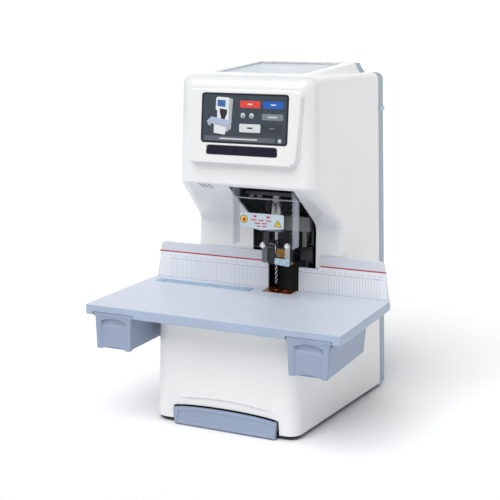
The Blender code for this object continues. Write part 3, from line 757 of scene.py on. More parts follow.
# Drill bit steel, with painted shade darkening its flutes.
FLUTES = FlutedFinish("fluted_bit_steel_groove_shade", "chrome", tint(206, 206, 210), 0.25, metallic=0.9, spread=0.08,
                      grain=0.01)
# Lead screw steel, with painted shade darkening the grooves of its thread.
THREAD = FlutedFinish("screw_thread_steel_groove_shade", "steel", tint(72, 72, 76), 0.32, metallic=0.9, spread=0.08,
                      grain=0.01)
CHROME = Finish("bright_chrome", "chrome", tint(226, 228, 232), 0.08, metallic=1.0, spread=0.04, grain=0.0,
                wave=0.0,
                drift=0.03, drift_size=8.0)
DULL = BrushedFinish("dull_bracket_steel", "steel", tint(116, 117, 122), 0.4, metallic=0.7, spread=0.08,
                     grain=0.012)
GREY = Finish("grey_machine_paint", "grey", tint(112, 111, 112), 0.42, grain=0.04, grain_size=1.2, drift=0.08,
              drift_size=20.0)
DARK_GREY = Finish("dark_machine_paint", "grey", tint(74, 74, 78), 0.42, grain=0.04, grain_size=1.2, drift=0.1,
                   drift_size=20.0)
COPPER = HeatedFinish("heated_copper", "copper", tint(168, 92, 36), 0.26, metallic=0.8, grain=0.02)
BRASS = BrushedFinish("machined_brass", "brass", tint(142, 106, 57), 0.3, metallic=0.9, grain=0.015, drift=0.15,
                      drift_size=6.0)
ZINC = Finish("blue_zinc_plate", "zinc", tint(176, 200, 216), 0.28, metallic=0.55, drift=0.1, drift_size=7.0)
CLEAR = ClearFinish("clear_guard_acrylic", "clear", tint(214, 222, 234), 0.06, spread=0.03, grain=0.0,
                    wave=0.03)
LID = ClearFinish("clear_lid_acrylic", "clear", tint(200, 212, 222), 0.1, spread=0.04, grain=0.0, wave=0.05,
                  least=0.1, most=0.58, rise=(0.3, 0.85))
SYMBOL = Finish("label_film", "symbol", tint(180, 194, 204), 0.3, drift=0.03)
NYLON = Finish("blue_nylon", "nylon", tint(150, 186, 214), 0.35, drift=0.12, drift_size=20.0)
BELT = Finish("belt_rubber", "belt", tint(34, 34, 36), 0.65, grain=0.03)
BOARD = SpeckledFinish("green_board", "board", tint(24, 92, 52), 0.4, speckle=0.2)
GLASS = Finish("touch_glass", "screen", tint(62, 70, 80), 0.12, drift=0.06, drift_size=40.0, grain=0.0,
               wave=0.01)
PLATE = Finish("navy_name_plate", "plate", tint(20, 22, 38), 0.18, drift=0.1, drift_size=30.0, grain=0.004)
RED_INK = Finish("red_line_ink", "ink_red", tint(178, 64, 74), 0.4, drift=0.08, drift_size=12.0)
GREY_INK = Finish("grey_scale_ink", "plate", tint(158, 166, 184), 0.5, drift=0.1, drift_size=4.0)
YELLOW_INK = Finish("yellow_symbol_ink", "ink_yellow", tint(214, 184, 56), 0.4, drift=0.08, drift_size=3.0)
FENCE = Finish("pale_fence_plastic", "casing", tint(206, 210, 218), 0.36, drift=0.015, grain=0.01)
PAPER = Finish("scale_film", "casing", tint(226, 228, 234), 0.34, drift=0.015, grain=0.006)
BLUE_FILM = ClearFinish("blue_strip_film", "nylon", tint(150, 200, 226), 0.25, least=0.2, most=0.42, drift=0.25,
                        drift_size=30.0)
SOCKET = Finish("inlet_plastic", "black", tint(28, 28, 30), 0.38, grain=0.02)


# ---------------------------------------------------------------- placing

def put(body: bpy.types.Object, owner: str, finish: Finish, *nodes: str,
        smooth: float = 35.0) -> bpy.types.Object:
    """Dresses a piece, smooths it below an angle and hangs it on a body.

    Args:
        body: The piece.
        owner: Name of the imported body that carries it.
        finish: Its finish.
        *nodes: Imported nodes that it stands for.
        smooth: Angle in degrees below which neighbouring faces are smoothed.

    Returns:
        The piece.
    """
    mesh = body.data
    mesh.materials.clear()
    mesh.materials.append(finish.material())
    mesh.shade_smooth()
    mesh.set_sharp_from_angle(angle=math.radians(smooth))
    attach(body, owner)
    if nodes:
        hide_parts(*nodes)
    LOG.info("%s: %d faces on %s, %s", body.name, len(mesh.polygons), owner, finish.name)
    return body


def dress(node: str, finish: Finish) -> None:
    """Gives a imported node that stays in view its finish."""
    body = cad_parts[node]
    for slot in body.material_slots:
        slot.material = finish.material()
    LOG.info("%s: %s", node, finish.name)


def box_cutter(low: Triple, high: Triple, radius: float = 0.0) -> bpy.types.Object:
    """A block for carving, with rounded upright edges on request.

    Args:
        low: Its lowest corner.
        high: Its highest corner.
        radius: Radius of its upright edges.

    Returns:
        The block.
    """
    outline = rectangle((low[0], high[0]), (low[1], high[1]), max(radius, 0.05), 6 if radius else 1)
    return slab("Cutter", outline, np.array([(low[2], 0.0), (high[2], 0.0)]), Facing.UP)


def bars(name: str, spans: np.ndarray, depth: Pair) -> bpy.types.Object:
    """Many thin upright bars in one mesh: eight corners and six faces each.

    Args:
        name: Name of the piece.
        spans: Rows of lowest x, highest x, lowest z and highest z.
        depth: Lowest and highest y.

    Returns:
        The new object.
    """
    x0, x1, z0, z1 = np.asarray(spans, float).T
    across = np.stack([x0, x1, x1, x0], -1)
    up = np.stack([z0, z0, z1, z1], -1)
    layers = [np.stack([across, np.full_like(across, y), up], -1) for y in depth]
    points = np.concatenate(layers, 1)
    pattern = np.array([[0, 1, 5, 4], [1, 2, 6, 5], [2, 3, 7, 6], [3, 0, 4, 7], [3, 2, 1, 0], [4, 5, 6, 7]])
    faces = pattern[None] + 8 * np.arange(len(points))[:, None, None]
    return solid(name, points, faces.reshape(-1, 4).tolist())


def half_width(y: np.ndarray, z: np.ndarray) -> np.ndarray:
    """Half of the casing's width: it grows by a tenth of the depth and shrinks slightly with height."""
    return 126.9 + 0.1007 * (y + 142.3) - 0.0332 * (z - 8.0)


def roof_height(y: np.ndarray) -> np.ndarray:
    """Height of the roof's plateau, which rises towards the back by 1 in 16."""
    return 565.0 + 0.0625 * (y + 60.5)


def soft_ramp(value: np.ndarray, start: float, stop: float, ease: Pair) -> np.ndarray:
    """Share that grows from 0 to 1 between start and stop, with a parabola at each bend.

    A bend at zero with ease h is 0 below -h, (v + h) squared / 4h up to h, and v above; the share is
    the difference of the bends at start and stop over the distance between them.

    Args:
        value: Where to take the share.
        start: Where it leaves 0.
        stop: Where it reaches 1.
        ease: Half-length of the two parabolas.

    Returns:
        The share.
    """
    total = np.zeros_like(value)
    for place, reach, sign in ((start, ease[0], 1.0), (stop, ease[1], -1.0)):
        v = value - place
        bend = np.where(v < -reach, 0.0, np.where(v > reach, v, (v + reach) ** 2 / (4 * reach)))
        total += sign * bend
    return total / (stop - start)


# ---------------------------------------------------------------- casing

@dataclass
class Casing:
    """White casing: the base, the column that leans out into the head, and the blue-grey back.

    The plan at every height has straight flared sides, an arc at each front corner and a straight
    front. It is walked from the right rear, round the front, to the left rear.
    """

    rear: float = 175.2
    wall: float = 3.0
    bottom: float = 8.0
    table_under: float = 184.2
    window: Pair = (-30.0, 86.0)
    mouth: tuple[float, float, float] = (-93.4, 98.4, 28.6)
    side_radius: float = 12.5
    front_radius: float = 25.0

    def walk(self, splits: Sequence[float]) -> tuple[np.ndarray, np.ndarray, np.ndarray]:
        """Parameters of the plan's columns.

        Args:
            splits: Where the front is divided, from right to left, in millimetres.

        Returns:
            The stretch that each column lies on (0 side, 1 corner, 2 front, 3 corner, 4 side), its
            share along it, and the x of a front column.
        """
        side, corner = np.linspace(0, 1, 19)[:-1], np.linspace(0, 1, 13)
        front = np.concatenate([np.linspace(a, b, n)[1:] for a, b, n in splits])[:-1]
        kind = np.concatenate([np.zeros(18), np.ones(13), np.full(len(front), 2), np.full(13, 3),
                              np.full(18, 4)])
        share = np.concatenate([side, corner, front * 0, 1 - corner[::-1], 1 - side[::-1]])
        x = np.concatenate([np.zeros(31), front, np.zeros(31)])
        return kind, share, x

    def plan(self, walk: tuple, front: np.ndarray, corner: np.ndarray, z: np.ndarray,
             step: np.ndarray) -> np.ndarray:
        """Points of the plan for each row, set in by a step.

        Args:
            walk: Columns from walk.
            front: Front depth of each row.
            corner: Corner radius of each row.
            z: Height of each point.
            step: Inset of each point.

        Returns:
            An array of rows, columns and coordinates.
        """
        kind, share, x = (part[None, :] for part in walk)
        front, corner = front[:, None], corner[:, None]
        centre_y = front + corner
        centre_x = half_width(centre_y, z) - corner
        radius = np.maximum(corner - step, 0.0)
        right = kind < 2
        sign = np.where(right, 1.0, -1.0)
        along = np.where(right, share, 1 - share)
        side_y = self.rear + (centre_y - self.rear) * along
        side_x = half_width(side_y, z) - step
        turn = along * math.pi / 2
        arc_x, arc_y = centre_x + radius * np.cos(turn), centre_y - radius * np.sin(turn)
        front_x = np.clip(x, -centre_x, centre_x)
        is_side, is_front = (kind == 0) | (kind == 4), kind == 2
        px = np.where(is_front, front_x, sign * np.where(is_side, side_x, arc_x))
        py = np.where(is_front, front + step, np.where(is_side, side_y, arc_y))
        return np.stack([px, py, np.broadcast_to(z, px.shape)], -1)

    def walled(self, name: str, grid: np.ndarray, keep: np.ndarray | None = None) -> bpy.types.Object:
        """A sheet from a grid, thickened inwards.

        Args:
            name: Name of the piece.
            grid: Rows, columns and coordinates of the outer surface.
            keep: Which quads stay, row by row.

        Returns:
            The new object.
        """
        faces = lattice(*grid.shape[:2], False)
        if keep is not None:
            faces = faces[keep.reshape(-1)]
        body = solid(name, grid, faces.tolist())
        mesh = body.data
        centre = Vector((0, 40 * MM, 0))
        face = max(mesh.polygons, key=lambda each: each.area)
        outward = face.center - centre
        outward.z = 0
        if face.normal.dot(outward) < 0:
            mesh.flip_normals()
        modifier = body.modifiers.new("Wall", "SOLIDIFY")
        modifier.thickness, modifier.offset, modifier.use_even_offset = self.wall * MM, -1.0, True
        return settle(body)

    def base(self) -> None:
        """Base casing with a low arched relief over the chip tray's mouth."""
        splits = ((118.0, 98.4, 4), (98.4, -93.4, 50), (-93.4, -118.0, 4))
        walk = self.walk(splits)
        z = np.concatenate([np.linspace(8, 40, 9), np.linspace(41, 68, 37), np.linspace(76,
                            self.table_under, 12)])
        count = len(z)
        zz = np.broadcast_to(z[:, None], (count, len(walk[0])))
        grid = self.plan(walk, np.full(count, -142.3), np.full(count, 22.0), zz, np.zeros_like(zz))
        grid[..., 1] -= self.relief(grid[..., 0], zz) * (walk[0] == 2)[None, :]
        shell = self.walled("BaseCasing", grid)
        x0, x1, low = self.mouth
        turn = np.radians(np.linspace(12, 168, 25))
        arch = np.stack([2.5 + 95.8 * np.cos(turn), low + 8.4 * np.sin(turn)], -1)
        outline = np.concatenate([[(x0, 0.0), (x1, 0.0)], arch])
        mouth = slab("Mouth", outline, np.array([(-160.0, 0.0), (-120.0, 0.0)]), Facing.BACK)
        put(carve(shell, mouth), "machine", CASING, "base_shell")

    @staticmethod
    def relief(x: np.ndarray, z: np.ndarray) -> np.ndarray:
        """Height of the arched moulding: it swells softly below one arc and ends crisply at a lower one.

        Args:
            x: Place across the front.
            z: Height above the floor.

        Returns:
            How far the moulding stands out.
        """
        upper = 57 + 6.0 * (1 - ((x - 3) / 74) ** 2)
        lower = 45.5 + 6.5 * (1 - ((x - 3) / 80) ** 2)
        swell = smoothstep((upper - z) / np.maximum(upper - lower, 1.0))
        crisp = smoothstep((z - lower + 1.0) / 1.0)
        ends = smoothstep((86 - np.abs(x - 3)) / 24)
        return 3.0 * swell * crisp * ends

    def front_at(self, z: np.ndarray) -> tuple[np.ndarray, np.ndarray]:
        """Front depth and corner radius of the column and head at some heights."""
        share = soft_ramp(z, 316.0, 390.0, (11.0, 3.0))
        return 34.1 - 105.2 * share, 12 + 18 * share

    def roof(self, x: np.ndarray, y: np.ndarray) -> np.ndarray:
        """Height of the roof: a shoulder at 564, and a smooth step up to the plateau inside x = 107."""
        return 564.0 + (roof_height(y) - 564.0) * smoothstep((107.5 - np.abs(x)) / 11.5)

    def upper_grid(self) -> tuple[np.ndarray, np.ndarray]:
        """Outer surface of the column and head: walls, a round rim and the roof up to its middle.

        A rim of radius R is set in by R (1 - cos t) and lies R (1 - sin t) under the roof; from there
        each column runs to a line along the middle of the roof, on which both sides meet.

        Returns:
            The grid, and which of its quads stay round the window.
        """
        splits = ((118.0, 86.0, 6), (86.0, -30.0, 14), (-30.0, -118.0, 12))
        walk = self.walk(splits)
        kind, share, _ = walk
        low = np.concatenate([np.linspace(184.5, 300, 12), np.linspace(305, 330, 11), np.linspace(336, 384, 9),
                              np.linspace(386.5, 394, 7), np.linspace(400, 530, 10)])
        corner_share = np.where(kind < 2, share, 1 - share)
        bend = np.where(kind == 2, 1.0, np.where((kind == 1) | (kind == 3), smoothstep(corner_share), 0.0))
        radius = self.side_radius + (self.front_radius - self.side_radius) * bend
        flat = np.full((1, len(kind)), 564.0)
        brink = self.plan(walk, *self.front_at(flat[:, 0]), flat, radius[None])[0]
        top = self.roof(brink[:, 0], brink[:, 1])
        full = np.repeat(low[:, None], len(kind), 1)
        step = np.zeros_like(full)
        turn = np.linspace(0, math.pi / 2, 9)[:, None]
        rim = top[None] - radius[None] * (1 - np.sin(turn))
        z = np.concatenate([full, rim])
        step = np.concatenate([step, radius[None] * (1 - np.cos(turn))])
        front, corner = self.front_at(z[:, 0])
        wall = self.plan(walk, front, corner, z, step)
        edge = wall[-1]
        middle_y = np.where(kind == 2, 15.0, np.where((kind == 0) | (kind == 4), 175.2 - 145.2 * corner_share,
                                                     30 - 15 * corner_share))
        along = np.concatenate([np.linspace(0, 0.34, 18)[1:], np.linspace(0.4, 1.0, 7)])[:, None]
        x = edge[None, :, 0] * (1 - along)
        y = edge[None, :, 1] * (1 - along) + middle_y[None] * along
        grid = np.concatenate([wall, np.stack([x, y, self.roof(x, y)], -1)])
        centre = (grid[:-1, :-1] + grid[1:, 1:]) / 2
        inside = (centre[..., 0] > self.window[0]) & (centre[..., 0] < self.window[1])
        gone = inside & (centre[..., 2] < 386.4) & (kind[:-1] == 2)[None]
        return grid, ~gone

    def upper(self) -> None:
        """Column and head casing with its window, the well for the tube tray and three slanted vents."""
        grid, keep = self.upper_grid()
        shell = self.walled("UpperCasing", grid, keep)
        low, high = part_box("tube_tray")
        well = box_cutter((-78, low.y / MM - 0.2, 400), (78, high.y / MM + 0.2, 600), 2.0)
        vents = []
        for index in range(3):
            x = -82.0 + 8.0 * index
            outline = rounded([(x, -69.5), (x + 4.9, -69.5), (x + 9.9, -56.4), (x + 5, -56.4)], 0.8, 3)
            vents.append(slab("Vent", outline, np.array([(370.0, 0.0), (402.0, 0.0)]), Facing.UP))
        put(carve(shell, well, *vents), "machine", CASING, "upper_shell")

    def back_outline(self) -> np.ndarray:
        """The back's outline: flared sides, round shoulders and the roof's raised middle."""
        low_x, side_x = half_width(self.rear, 8.0) + 0.4, half_width(self.rear, 550.0) + 0.4
        x = np.linspace(-107.5, 107.5, 44)
        top = self.roof(x, np.full_like(x, self.rear)) - 0.2
        turn = np.linspace(0, math.pi / 2, 9)
        shoulder = np.stack([side_x - 12.5 + 12.5 * np.cos(turn), 551.3 + 12.5 * np.sin(turn)], -1)
        left = shoulder[::-1] * (-1, 1)
        return np.concatenate([[(-low_x, 8.0), (low_x, 8.0)], shoulder, np.stack([x, top], -1)[::-1], left])

    def back(self) -> None:
        """Blue-grey pan behind the machine with round-ended louvres, a fan grille and the inlet's hole."""
        outline = self.back_outline()
        pan = slab("BackCover", outline, edges(self.rear + 0.3, 202.5, 0.3, 3.2, 6), Facing.BACK)
        space = slab("Space", inset(outline, 5.0), np.array([(160.0, 0.0), (199.5, 0.0)]), Facing.BACK)
        through = np.array([(190.0, 0.0), (210.0, 0.0)])
        cutters = [space]
        for row in range(7):
            cutters.append(slab("Louvre", rectangle((-70, 70), (250 + 14 * row, 255 + 14 * row), 2.4), through,
                                Facing.BACK))
        for column in range(6):
            x = 37.5 + 9 * column
            reach = math.sqrt(26**2 - (x - 60) ** 2)
            cutters.append(slab("Bar", rectangle((x - 2, x + 2), (430 - reach, 430 + reach), 1.9), through,
                                Facing.BACK))
        cutters.append(slab("Inlet", rectangle((-120.8, -49.2), (44.2, 75.8), 1.5), through, Facing.BACK))
        put(carve(pan, *cutters), "machine", COVER, "rear_cover")

    def under(self) -> None:
        """Black pan and the four rubber feet."""
        walk = self.walk(((118.0, -118.0, 12),))
        z = np.array([3.6, 4.2, 7.1, 7.7])
        step = np.array([3.1, 2.5, 2.5, 3.1])[:, None] + np.zeros((1, len(walk[0])))
        zz = np.repeat(z[:, None], len(walk[0]), 1)
        grid = self.plan(walk, np.full(4, -142.3), np.full(4, 22.0), zz, step)
        grid[..., 1] = np.minimum(grid[..., 1], 174.0)
        put(skin("BasePan", grid), "machine", MATT, "base_pan")
        for name, x, y in (("front_left", -105, -112), ("front_right", 105, -112),
                           ("rear_left", -132, 152), ("rear_right", 132, 152)):
            profile = ((0.0, 4.0), (0.0, 12.0), (0.8, 12.6), (3.3, 13.0), (3.3, 4.0))
            foot = turned(f"Foot_{name}", profile, (x, y), Facing.UP, 0.5)
            put(foot, "machine", RUBBER, f"foot_{name}")

    def build(self) -> None:
        """Builds the whole casing."""
        self.base()
        self.upper()
        self.back()
        self.under()
        shape = rectangle((138, 145.4), (497.5, 506.5), 1.6)
        put(slab("CoverClip", shape, edges(177.0, 201.5, 0.8, 1.0), Facing.BACK), "machine", SYMBOL)


# ---------------------------------------------------------------- operating panel

@dataclass
class Panel:
    """The leaning raised panel with its lit touch screen and a blank name plate."""

    top: float = 545.0
    top_y: float = -73.5
    lean: float = 0.08
    screen_x: Pair = (-71.0, 80.0)
    screen_z: Pair = (458.6, 537.6)

    def leaned(self, body: bpy.types.Object, offset: float = 0.0) -> bpy.types.Object:
        """Moves a piece modelled about y = 0 onto the panel's front, y = top_y - lean (top - z).

        Args:
            body: The piece.
            offset: How far behind the front it goes.

        Returns:
            The piece.
        """
        mesh = body.data
        place = np.empty(len(mesh.vertices) * 3, np.float32)
        mesh.vertices.foreach_get("co", place)
        place = place.reshape(-1, 3).astype(float)
        place[:, 1] += (self.top_y + offset) * MM - self.lean * (self.top * MM - place[:, 2])
        mesh.vertices.foreach_set("co", place.ravel())
        mesh.update()
        return body

    @staticmethod
    def fade(z: np.ndarray) -> np.ndarray:
        """How far the pad sinks back above the screen, so that its top runs into the head."""
        return 1.9 * smoothstep((z - 538.2) / 6.8)

    def bezel(self) -> None:
        """The raised pad, round at its rim, flared onto the head, with pockets for screen and plate."""
        outline = rounded([(-94.5, 426), (94.5, 426), (101, 545), (-101, 545)], (16, 16, 12, 12), 10)
        front = edges(0.0, 3.0, 2.6, 0.01, 6)[:8]
        rings = []
        for along, step in front:
            flat = inset(outline, step)
            y = self.top_y - self.lean * (self.top - flat[:, 1]) + along + self.fade(flat[:, 1])
            rings.append(np.stack([flat[:, 0], y, flat[:, 1]], -1))
        for share in np.linspace(0.2, 1.0, 7):
            flat = inset(outline, -2.2 * share**3)
            y = self.top_y - self.lean * (self.top - flat[:, 1]) + 2.6 + self.fade(flat[:, 1]) * 0.5
            y = y + (np.maximum(y, -71.3) + 0.4 - y) * share
            rings.append(np.stack([flat[:, 0], y, flat[:, 1]], -1))
        pad = skin("PanelPad", np.stack(rings))
        pockets = []
        for across, up, radius in ((self.screen_x, self.screen_z, 5.0), ((-61, 63.6), (440, 455), 4.0)):
            flat = rectangle((across[0] - 0.4, across[1] + 0.4), (up[0] - 0.4, up[1] + 0.4), radius + 0.4)
            pocket = slab("Pocket", flat, np.array([(-6.0, 0.0), (1.5, 0.0)]), Facing.BACK)
            pockets.append(self.leaned(pocket))
        put(carve(pad, *pockets), "machine", CASING, "panel_bezel")

    def spot(self, s: float, t: float) -> Pair:
        """The x and z of a place on the screen, as shares from its left and its top."""
        (x0, x1), (z0, z1) = self.screen_x, self.screen_z
        return (x0 + (x1 - x0) * s, z1 - (z1 - z0) * t)

    def mark(self, name: str, outline: np.ndarray, finish: Finish, layer: int = 1) -> None:
        """A thin flat shape on the screen.

        Args:
            name: Name of the piece.
            outline: Its outline in x and z.
            finish: Its finish.
            layer: How many layers it stands out, of 0.06 mm each.
        """
        front = -0.1 - 0.06 * layer
        shape = slab(name, outline, np.array([(front, 0.0), (-0.1, 0.0)]), Facing.BACK)
        put(self.leaned(shape), "machine", finish)

    def patch(self, name: str, s: Pair, t: Pair, finish: Finish, layer: int = 1, radius: float = 1.2) -> None:
        """A rounded rectangle on the screen between shares of its width and height."""
        (x0, z1), (x1, z0) = self.spot(s[0], t[0]), self.spot(s[1], t[1])
        self.mark(name, rectangle((x0, x1), (z0, z1), radius, 4), finish, layer)

    def disc(self, name: str, s: float, t: float, radius: float, finish: Finish, layer: int = 1) -> None:
        """A disc on the screen."""
        x, z = self.spot(s, t)
        turn = np.linspace(0, 2 * math.pi, 28, endpoint=False)
        outline = np.stack([x + radius * np.cos(turn), z + radius * np.sin(turn)], -1)
        self.mark(name, outline, finish, layer)

    def shape(self, name: str, corners: Sequence[Pair], finish: Finish, layer: int = 1) -> None:
        """A polygon on the screen with slightly rounded corners."""
        self.mark(name, rounded([self.spot(s, t) for s, t in corners], 0.5, 2), finish, layer)

    def keys(self) -> None:
        """The soft keys: two coloured, one wide grey, two round, two lower and the status bar."""
        red = LitFinish("lit_red", "screen", tint(206, 62, 52))
        blue = LitFinish("lit_blue", "screen", tint(26, 84, 168))
        grey = LitFinish("lit_grey", "screen", tint(112, 120, 126))
        dark = LitFinish("lit_dark", "screen", tint(46, 50, 57))
        pale = LitFinish("lit_pale", "screen", tint(198, 201, 202))
        bar = LitFinish("lit_bar", "screen", tint(80, 87, 95), glow=0.2)
        self.patch("KeyRed", (0.45, 0.68), (0.14, 0.28), red)
        self.patch("KeyBlue", (0.71, 0.945), (0.14, 0.28), blue)
        self.patch("KeyGrey", (0.705, 0.945), (0.385, 0.51), grey)
        self.patch("KeyDark", (0.71, 0.935), (0.61, 0.75), dark)
        self.patch("KeySilver", (0.448, 0.69), (0.60, 0.765), pale)
        for name, s in (("KeyRoundLeft", 0.485), ("KeyRoundRight", 0.585)):
            self.disc(name, s, 0.435, 4.7, grey)
            self.disc(f"{name}Face", s, 0.425, 3.2, pale, 2)
            self.patch(f"{name}Sign", (s - 0.009, s + 0.009), (0.425, 0.45), dark, 3, 0.3)
        self.patch("StatusBar", (0.04, 0.86), (0.86, 0.955), bar)
        self.patch("StatusLine", (0.22, 0.66), (0.895, 0.92), pale, 2, 0.6)
        self.disc("StatusKey", 0.915, 0.91, 4.0, grey)
        self.disc("StatusKeyFace", 0.915, 0.905, 2.4, pale, 2)
        for name, s, t, finish in (("SignRed", (0.535, 0.595), (0.195, 0.22), pale),
                                   ("SignBlue", (0.80, 0.86), (0.195, 0.22), pale),
                                   ("SignGrey", (0.77, 0.875), (0.435, 0.46), pale),
                                   ("SignDark", (0.79, 0.85), (0.66, 0.68), grey),
                                   ("SignSilver", (0.54, 0.60), (0.665, 0.695), dark)):
            self.patch(name, s, t, finish, 2, 0.5)

    def pictogram(self) -> None:
        """A small drawing of a binder on the left of the screen."""
        white = LitFinish("lit_white", "screen", tint(206, 209, 212))
        shade = LitFinish("lit_shade", "screen", tint(158, 162, 168))
        blue = LitFinish("lit_screen", "screen", tint(58, 96, 150))
        dark = LitFinish("lit_throat", "screen", tint(30, 32, 38))
        wood = LitFinish("lit_table", "screen", tint(160, 170, 194))
        self.shape("SketchSide", [(0.26, 0.82), (0.35, 0.71), (0.365, 0.12), (0.30, 0.08)], shade)
        self.shape("SketchBase", [(0.15, 0.80), (0.28, 0.83), (0.30, 0.64), (0.15, 0.60)], white, 2)
        self.shape("SketchColumn", [(0.185, 0.56), (0.32, 0.60), (0.32, 0.32), (0.185, 0.32)], white, 2)
        self.mark("SketchHead", rounded([self.spot(s, t) for s, t in
                                         ((0.165, 0.34), (0.315, 0.385), (0.325, 0.09), (0.17, 0.075))],
                                        (2.0, 2.0, 3.6, 3.6), 4), white, 3)
        self.shape("SketchPanel", [(0.185, 0.265), (0.28, 0.28), (0.28, 0.145), (0.185, 0.135)], blue, 4)
        self.shape("SketchThroat", [(0.24, 0.545), (0.27, 0.55), (0.30, 0.40), (0.30, 0.33), (0.215, 0.31),
                                    (0.215, 0.38)], dark, 4)
        self.shape("SketchTable", [(0.065, 0.57), (0.31, 0.655), (0.365, 0.555), (0.12, 0.475)], wood, 5)
        self.shape("SketchTableEdge", [(0.065, 0.595), (0.31, 0.685), (0.31, 0.655), (0.065, 0.57)], shade, 5)
        self.shape("SketchBox", [(0.08, 0.65), (0.115, 0.66), (0.115, 0.60), (0.08, 0.59)], shade, 6)

    def build(self) -> None:
        """Builds the pad, the glass, what the glass shows and the name plate."""
        self.bezel()
        flat = rectangle(self.screen_x, self.screen_z, 5.0)
        glass = slab("TouchGlass", flat, edges(-0.1, 1.1, 0.4, 0.01, 3), Facing.BACK)
        put(self.leaned(glass), "machine", GLASS, "touch_screen")
        frame_line = slab("GlassBorder", flat, np.array([(-0.13, 0.6), (-0.1, 0.6)]), Facing.BACK)
        hollow = slab("BorderSpace", inset(flat, 2.6), np.array([(-1.0, 0.0), (1.0, 0.0)]), Facing.BACK)
        put(self.leaned(carve(frame_line, hollow)), "machine", BLACK)
        shape = rounded([(-60.8, 440), (63.4, 440), (62.4, 455), (-59.8, 455)], (1, 1, 5, 5))
        plate = slab("NamePlate", shape, edges(-0.1, 1.1, 0.5, 0.01, 3), Facing.BACK)
        put(self.leaned(plate), "machine", PLATE, "name_plate")
        self.keys()
        self.pictogram()


# ---------------------------------------------------------------- work table

@dataclass
class WorkTable:
    """The laminate table, its film strip and the two scaled fences behind it."""

    half: float = 220.0
    front: float = -202.5
    back: float = 29.5
    low: float = 184.5
    high: float = 200.9
    drill: float = 21.0

    def top(self) -> None:
        """Table with round edges, the anvil's notch and the two notches over the drawers."""
        corners = [(-self.half, self.front), (self.half, self.front), (self.half, self.back), (54, self.back),
                   (54, 0.5), (1, 0.5), (1, self.back), (-self.half, self.back)]
        outline = rounded(corners, (4, 4, 2.8, 2.8, 0.8, 0.8, 2.8, 2.8), 5)
        board = slab("WorkTable", outline, edges(self.low, self.high, 2.2, 1.6, 5), Facing.UP)
        cutters = []
        for side in (-1, 1):
            a, b = sorted((side * 131.0, side * 206.0))
            flat = rectangle((a, b), (170.0, 190.6), 2.0)
            cutters.append(slab("Notch", flat, np.array([(-220.0, 0.0), (-190.0, 0.0)]), Facing.BACK))
        put(carve(board, *cutters), "machine", TABLE, "work_table")
        self.band(board.data)
        strip = rectangle((-202, -16), (-11.5, 13.5), 3.0)
        film = slab("FilmStrip", strip, np.array([(self.high, 0.0), (self.high + 0.18, 0.1)]), Facing.UP)
        put(film, "machine", BLUE_FILM)

    @staticmethod
    def band(mesh: bpy.types.Mesh) -> None:
        """Gives the faces of the table's edge, which are nearly upright, a darker copy of the table's finish as
        painted shade.

        Args:
            mesh: The table's mesh.
        """
        mesh.materials.append(EDGE_SHADE.material())
        normals = np.empty(len(mesh.polygons) * 3, np.float32)
        mesh.polygons.foreach_get("normal", normals)
        # Faces that are nearly upright take the painted shade.
        upright = np.abs(normals.reshape(-1, 3)[:, 2]) < 0.8
        mesh.polygons.foreach_set("material_index", upright.astype(np.int32))

    def fence(self, name: str, outline: np.ndarray, node: str) -> None:
        """One fence with softened edges."""
        body = slab(name, outline, edges(29.8, 33.8, 1.0, 1.0, 3), Facing.BACK)
        put(body, "machine", FENCE, node)

    def lines(self, name: str, start: float, stop: float, top: float) -> None:
        """Upright scale lines every 5 mm and the line along their top.

        Args:
            name: Name of the piece.
            start: Lowest x.
            stop: Highest x.
            top: Height of the line along the top.
        """
        x = np.arange(math.ceil(start / 5) * 5, stop + 0.1, 5.0) + self.drill % 5
        x = x[(x > start) & (x < stop)]
        rows = np.stack([x - 0.2, x + 0.2, np.full_like(x, 201.4), np.full_like(x, top)], -1)
        ends = np.array([[start, stop, top, top + 0.7]])
        put(bars(name, np.concatenate([rows, ends]), (29.70, 29.76)), "machine", GREY_INK)

    def numbers(self, name: str, values: Sequence[int], side: int, z: float) -> None:
        """Scale numbers in millimetres from the drill's axis, as one mesh.

        Args:
            name: Name of the piece.
            values: The numbers.
            side: -1 to the left of the drill, 1 to the right.
            z: Height of the numbers.
        """
        labels = []
        for value in values:
            curve = bpy.data.curves.new("Label", "FONT")
            curve.body, curve.size, curve.align_x, curve.resolution_u = str(value), 4.2 * MM, "CENTER", 1
            curve.extrude = 0.03 * MM
            label = bpy.data.objects.new("Label", curve)
            bpy.context.scene.collection.objects.link(label)
            text = settle_label(label)
            place = Matrix.Translation(Vector((self.drill + side * value, 29.72, z)) * MM)
            text.data.transform(place @ Matrix.Rotation(math.pi / 2, 4, "X"))
            labels.append(text)
        put(gathered(name, labels), "machine", GREY_INK)

    def build(self) -> None:
        """Builds the table, fences, red lines and scales."""
        self.top()
        left = rounded([(-219.5, 186), (1, 186), (1, 265), (-207.0, 265)], (1.6, 1.6, 2, 9), 8)
        right = rounded([(56.5, 186), (219.7, 186), (207.0, 265), (94, 265), (94, 242), (56.5, 242)],
                        (1.6, 1.6, 9, 8, 3, 1.6), 8)
        self.fence("FenceLeft", left, "fence_left")
        self.fence("FenceRight", right, "fence_right")
        films = []
        thickness = np.array([(29.75, 0.0), (29.81, 0.0)])
        for corners in (((-214.3, 201.3), (0.2, 201.3), (0.2, 247.5), (-210.4, 247.5)),
                        ((57.2, 201.3), (214.3, 201.3), (210.4, 246.8), (94.2, 246.8), (94.2, 240.6),
                         (57.2, 240.6))):
            films.append(slab("Film", rounded(corners, 0.6, 2), thickness, Facing.BACK))
        put(gathered("ScaleFilm", films), "machine", PAPER)
        reds = np.array([(-211.5, 0.6, 246.6, 249.0), (95.5, 211.5, 245.8, 248.2)])
        put(bars("RedLines", reds, (29.66, 29.76)), "machine", RED_INK)
        self.lines("ScaleLeft", -190.0, 0.4, 235.0)
        self.lines("ScaleRight", 57.2, 206.0, 234.0)
        self.numbers("NumbersLeft", range(40, 211, 10), -1, 238.6)
        self.numbers("NumbersRight", range(50, 181, 10), 1, 237.2)


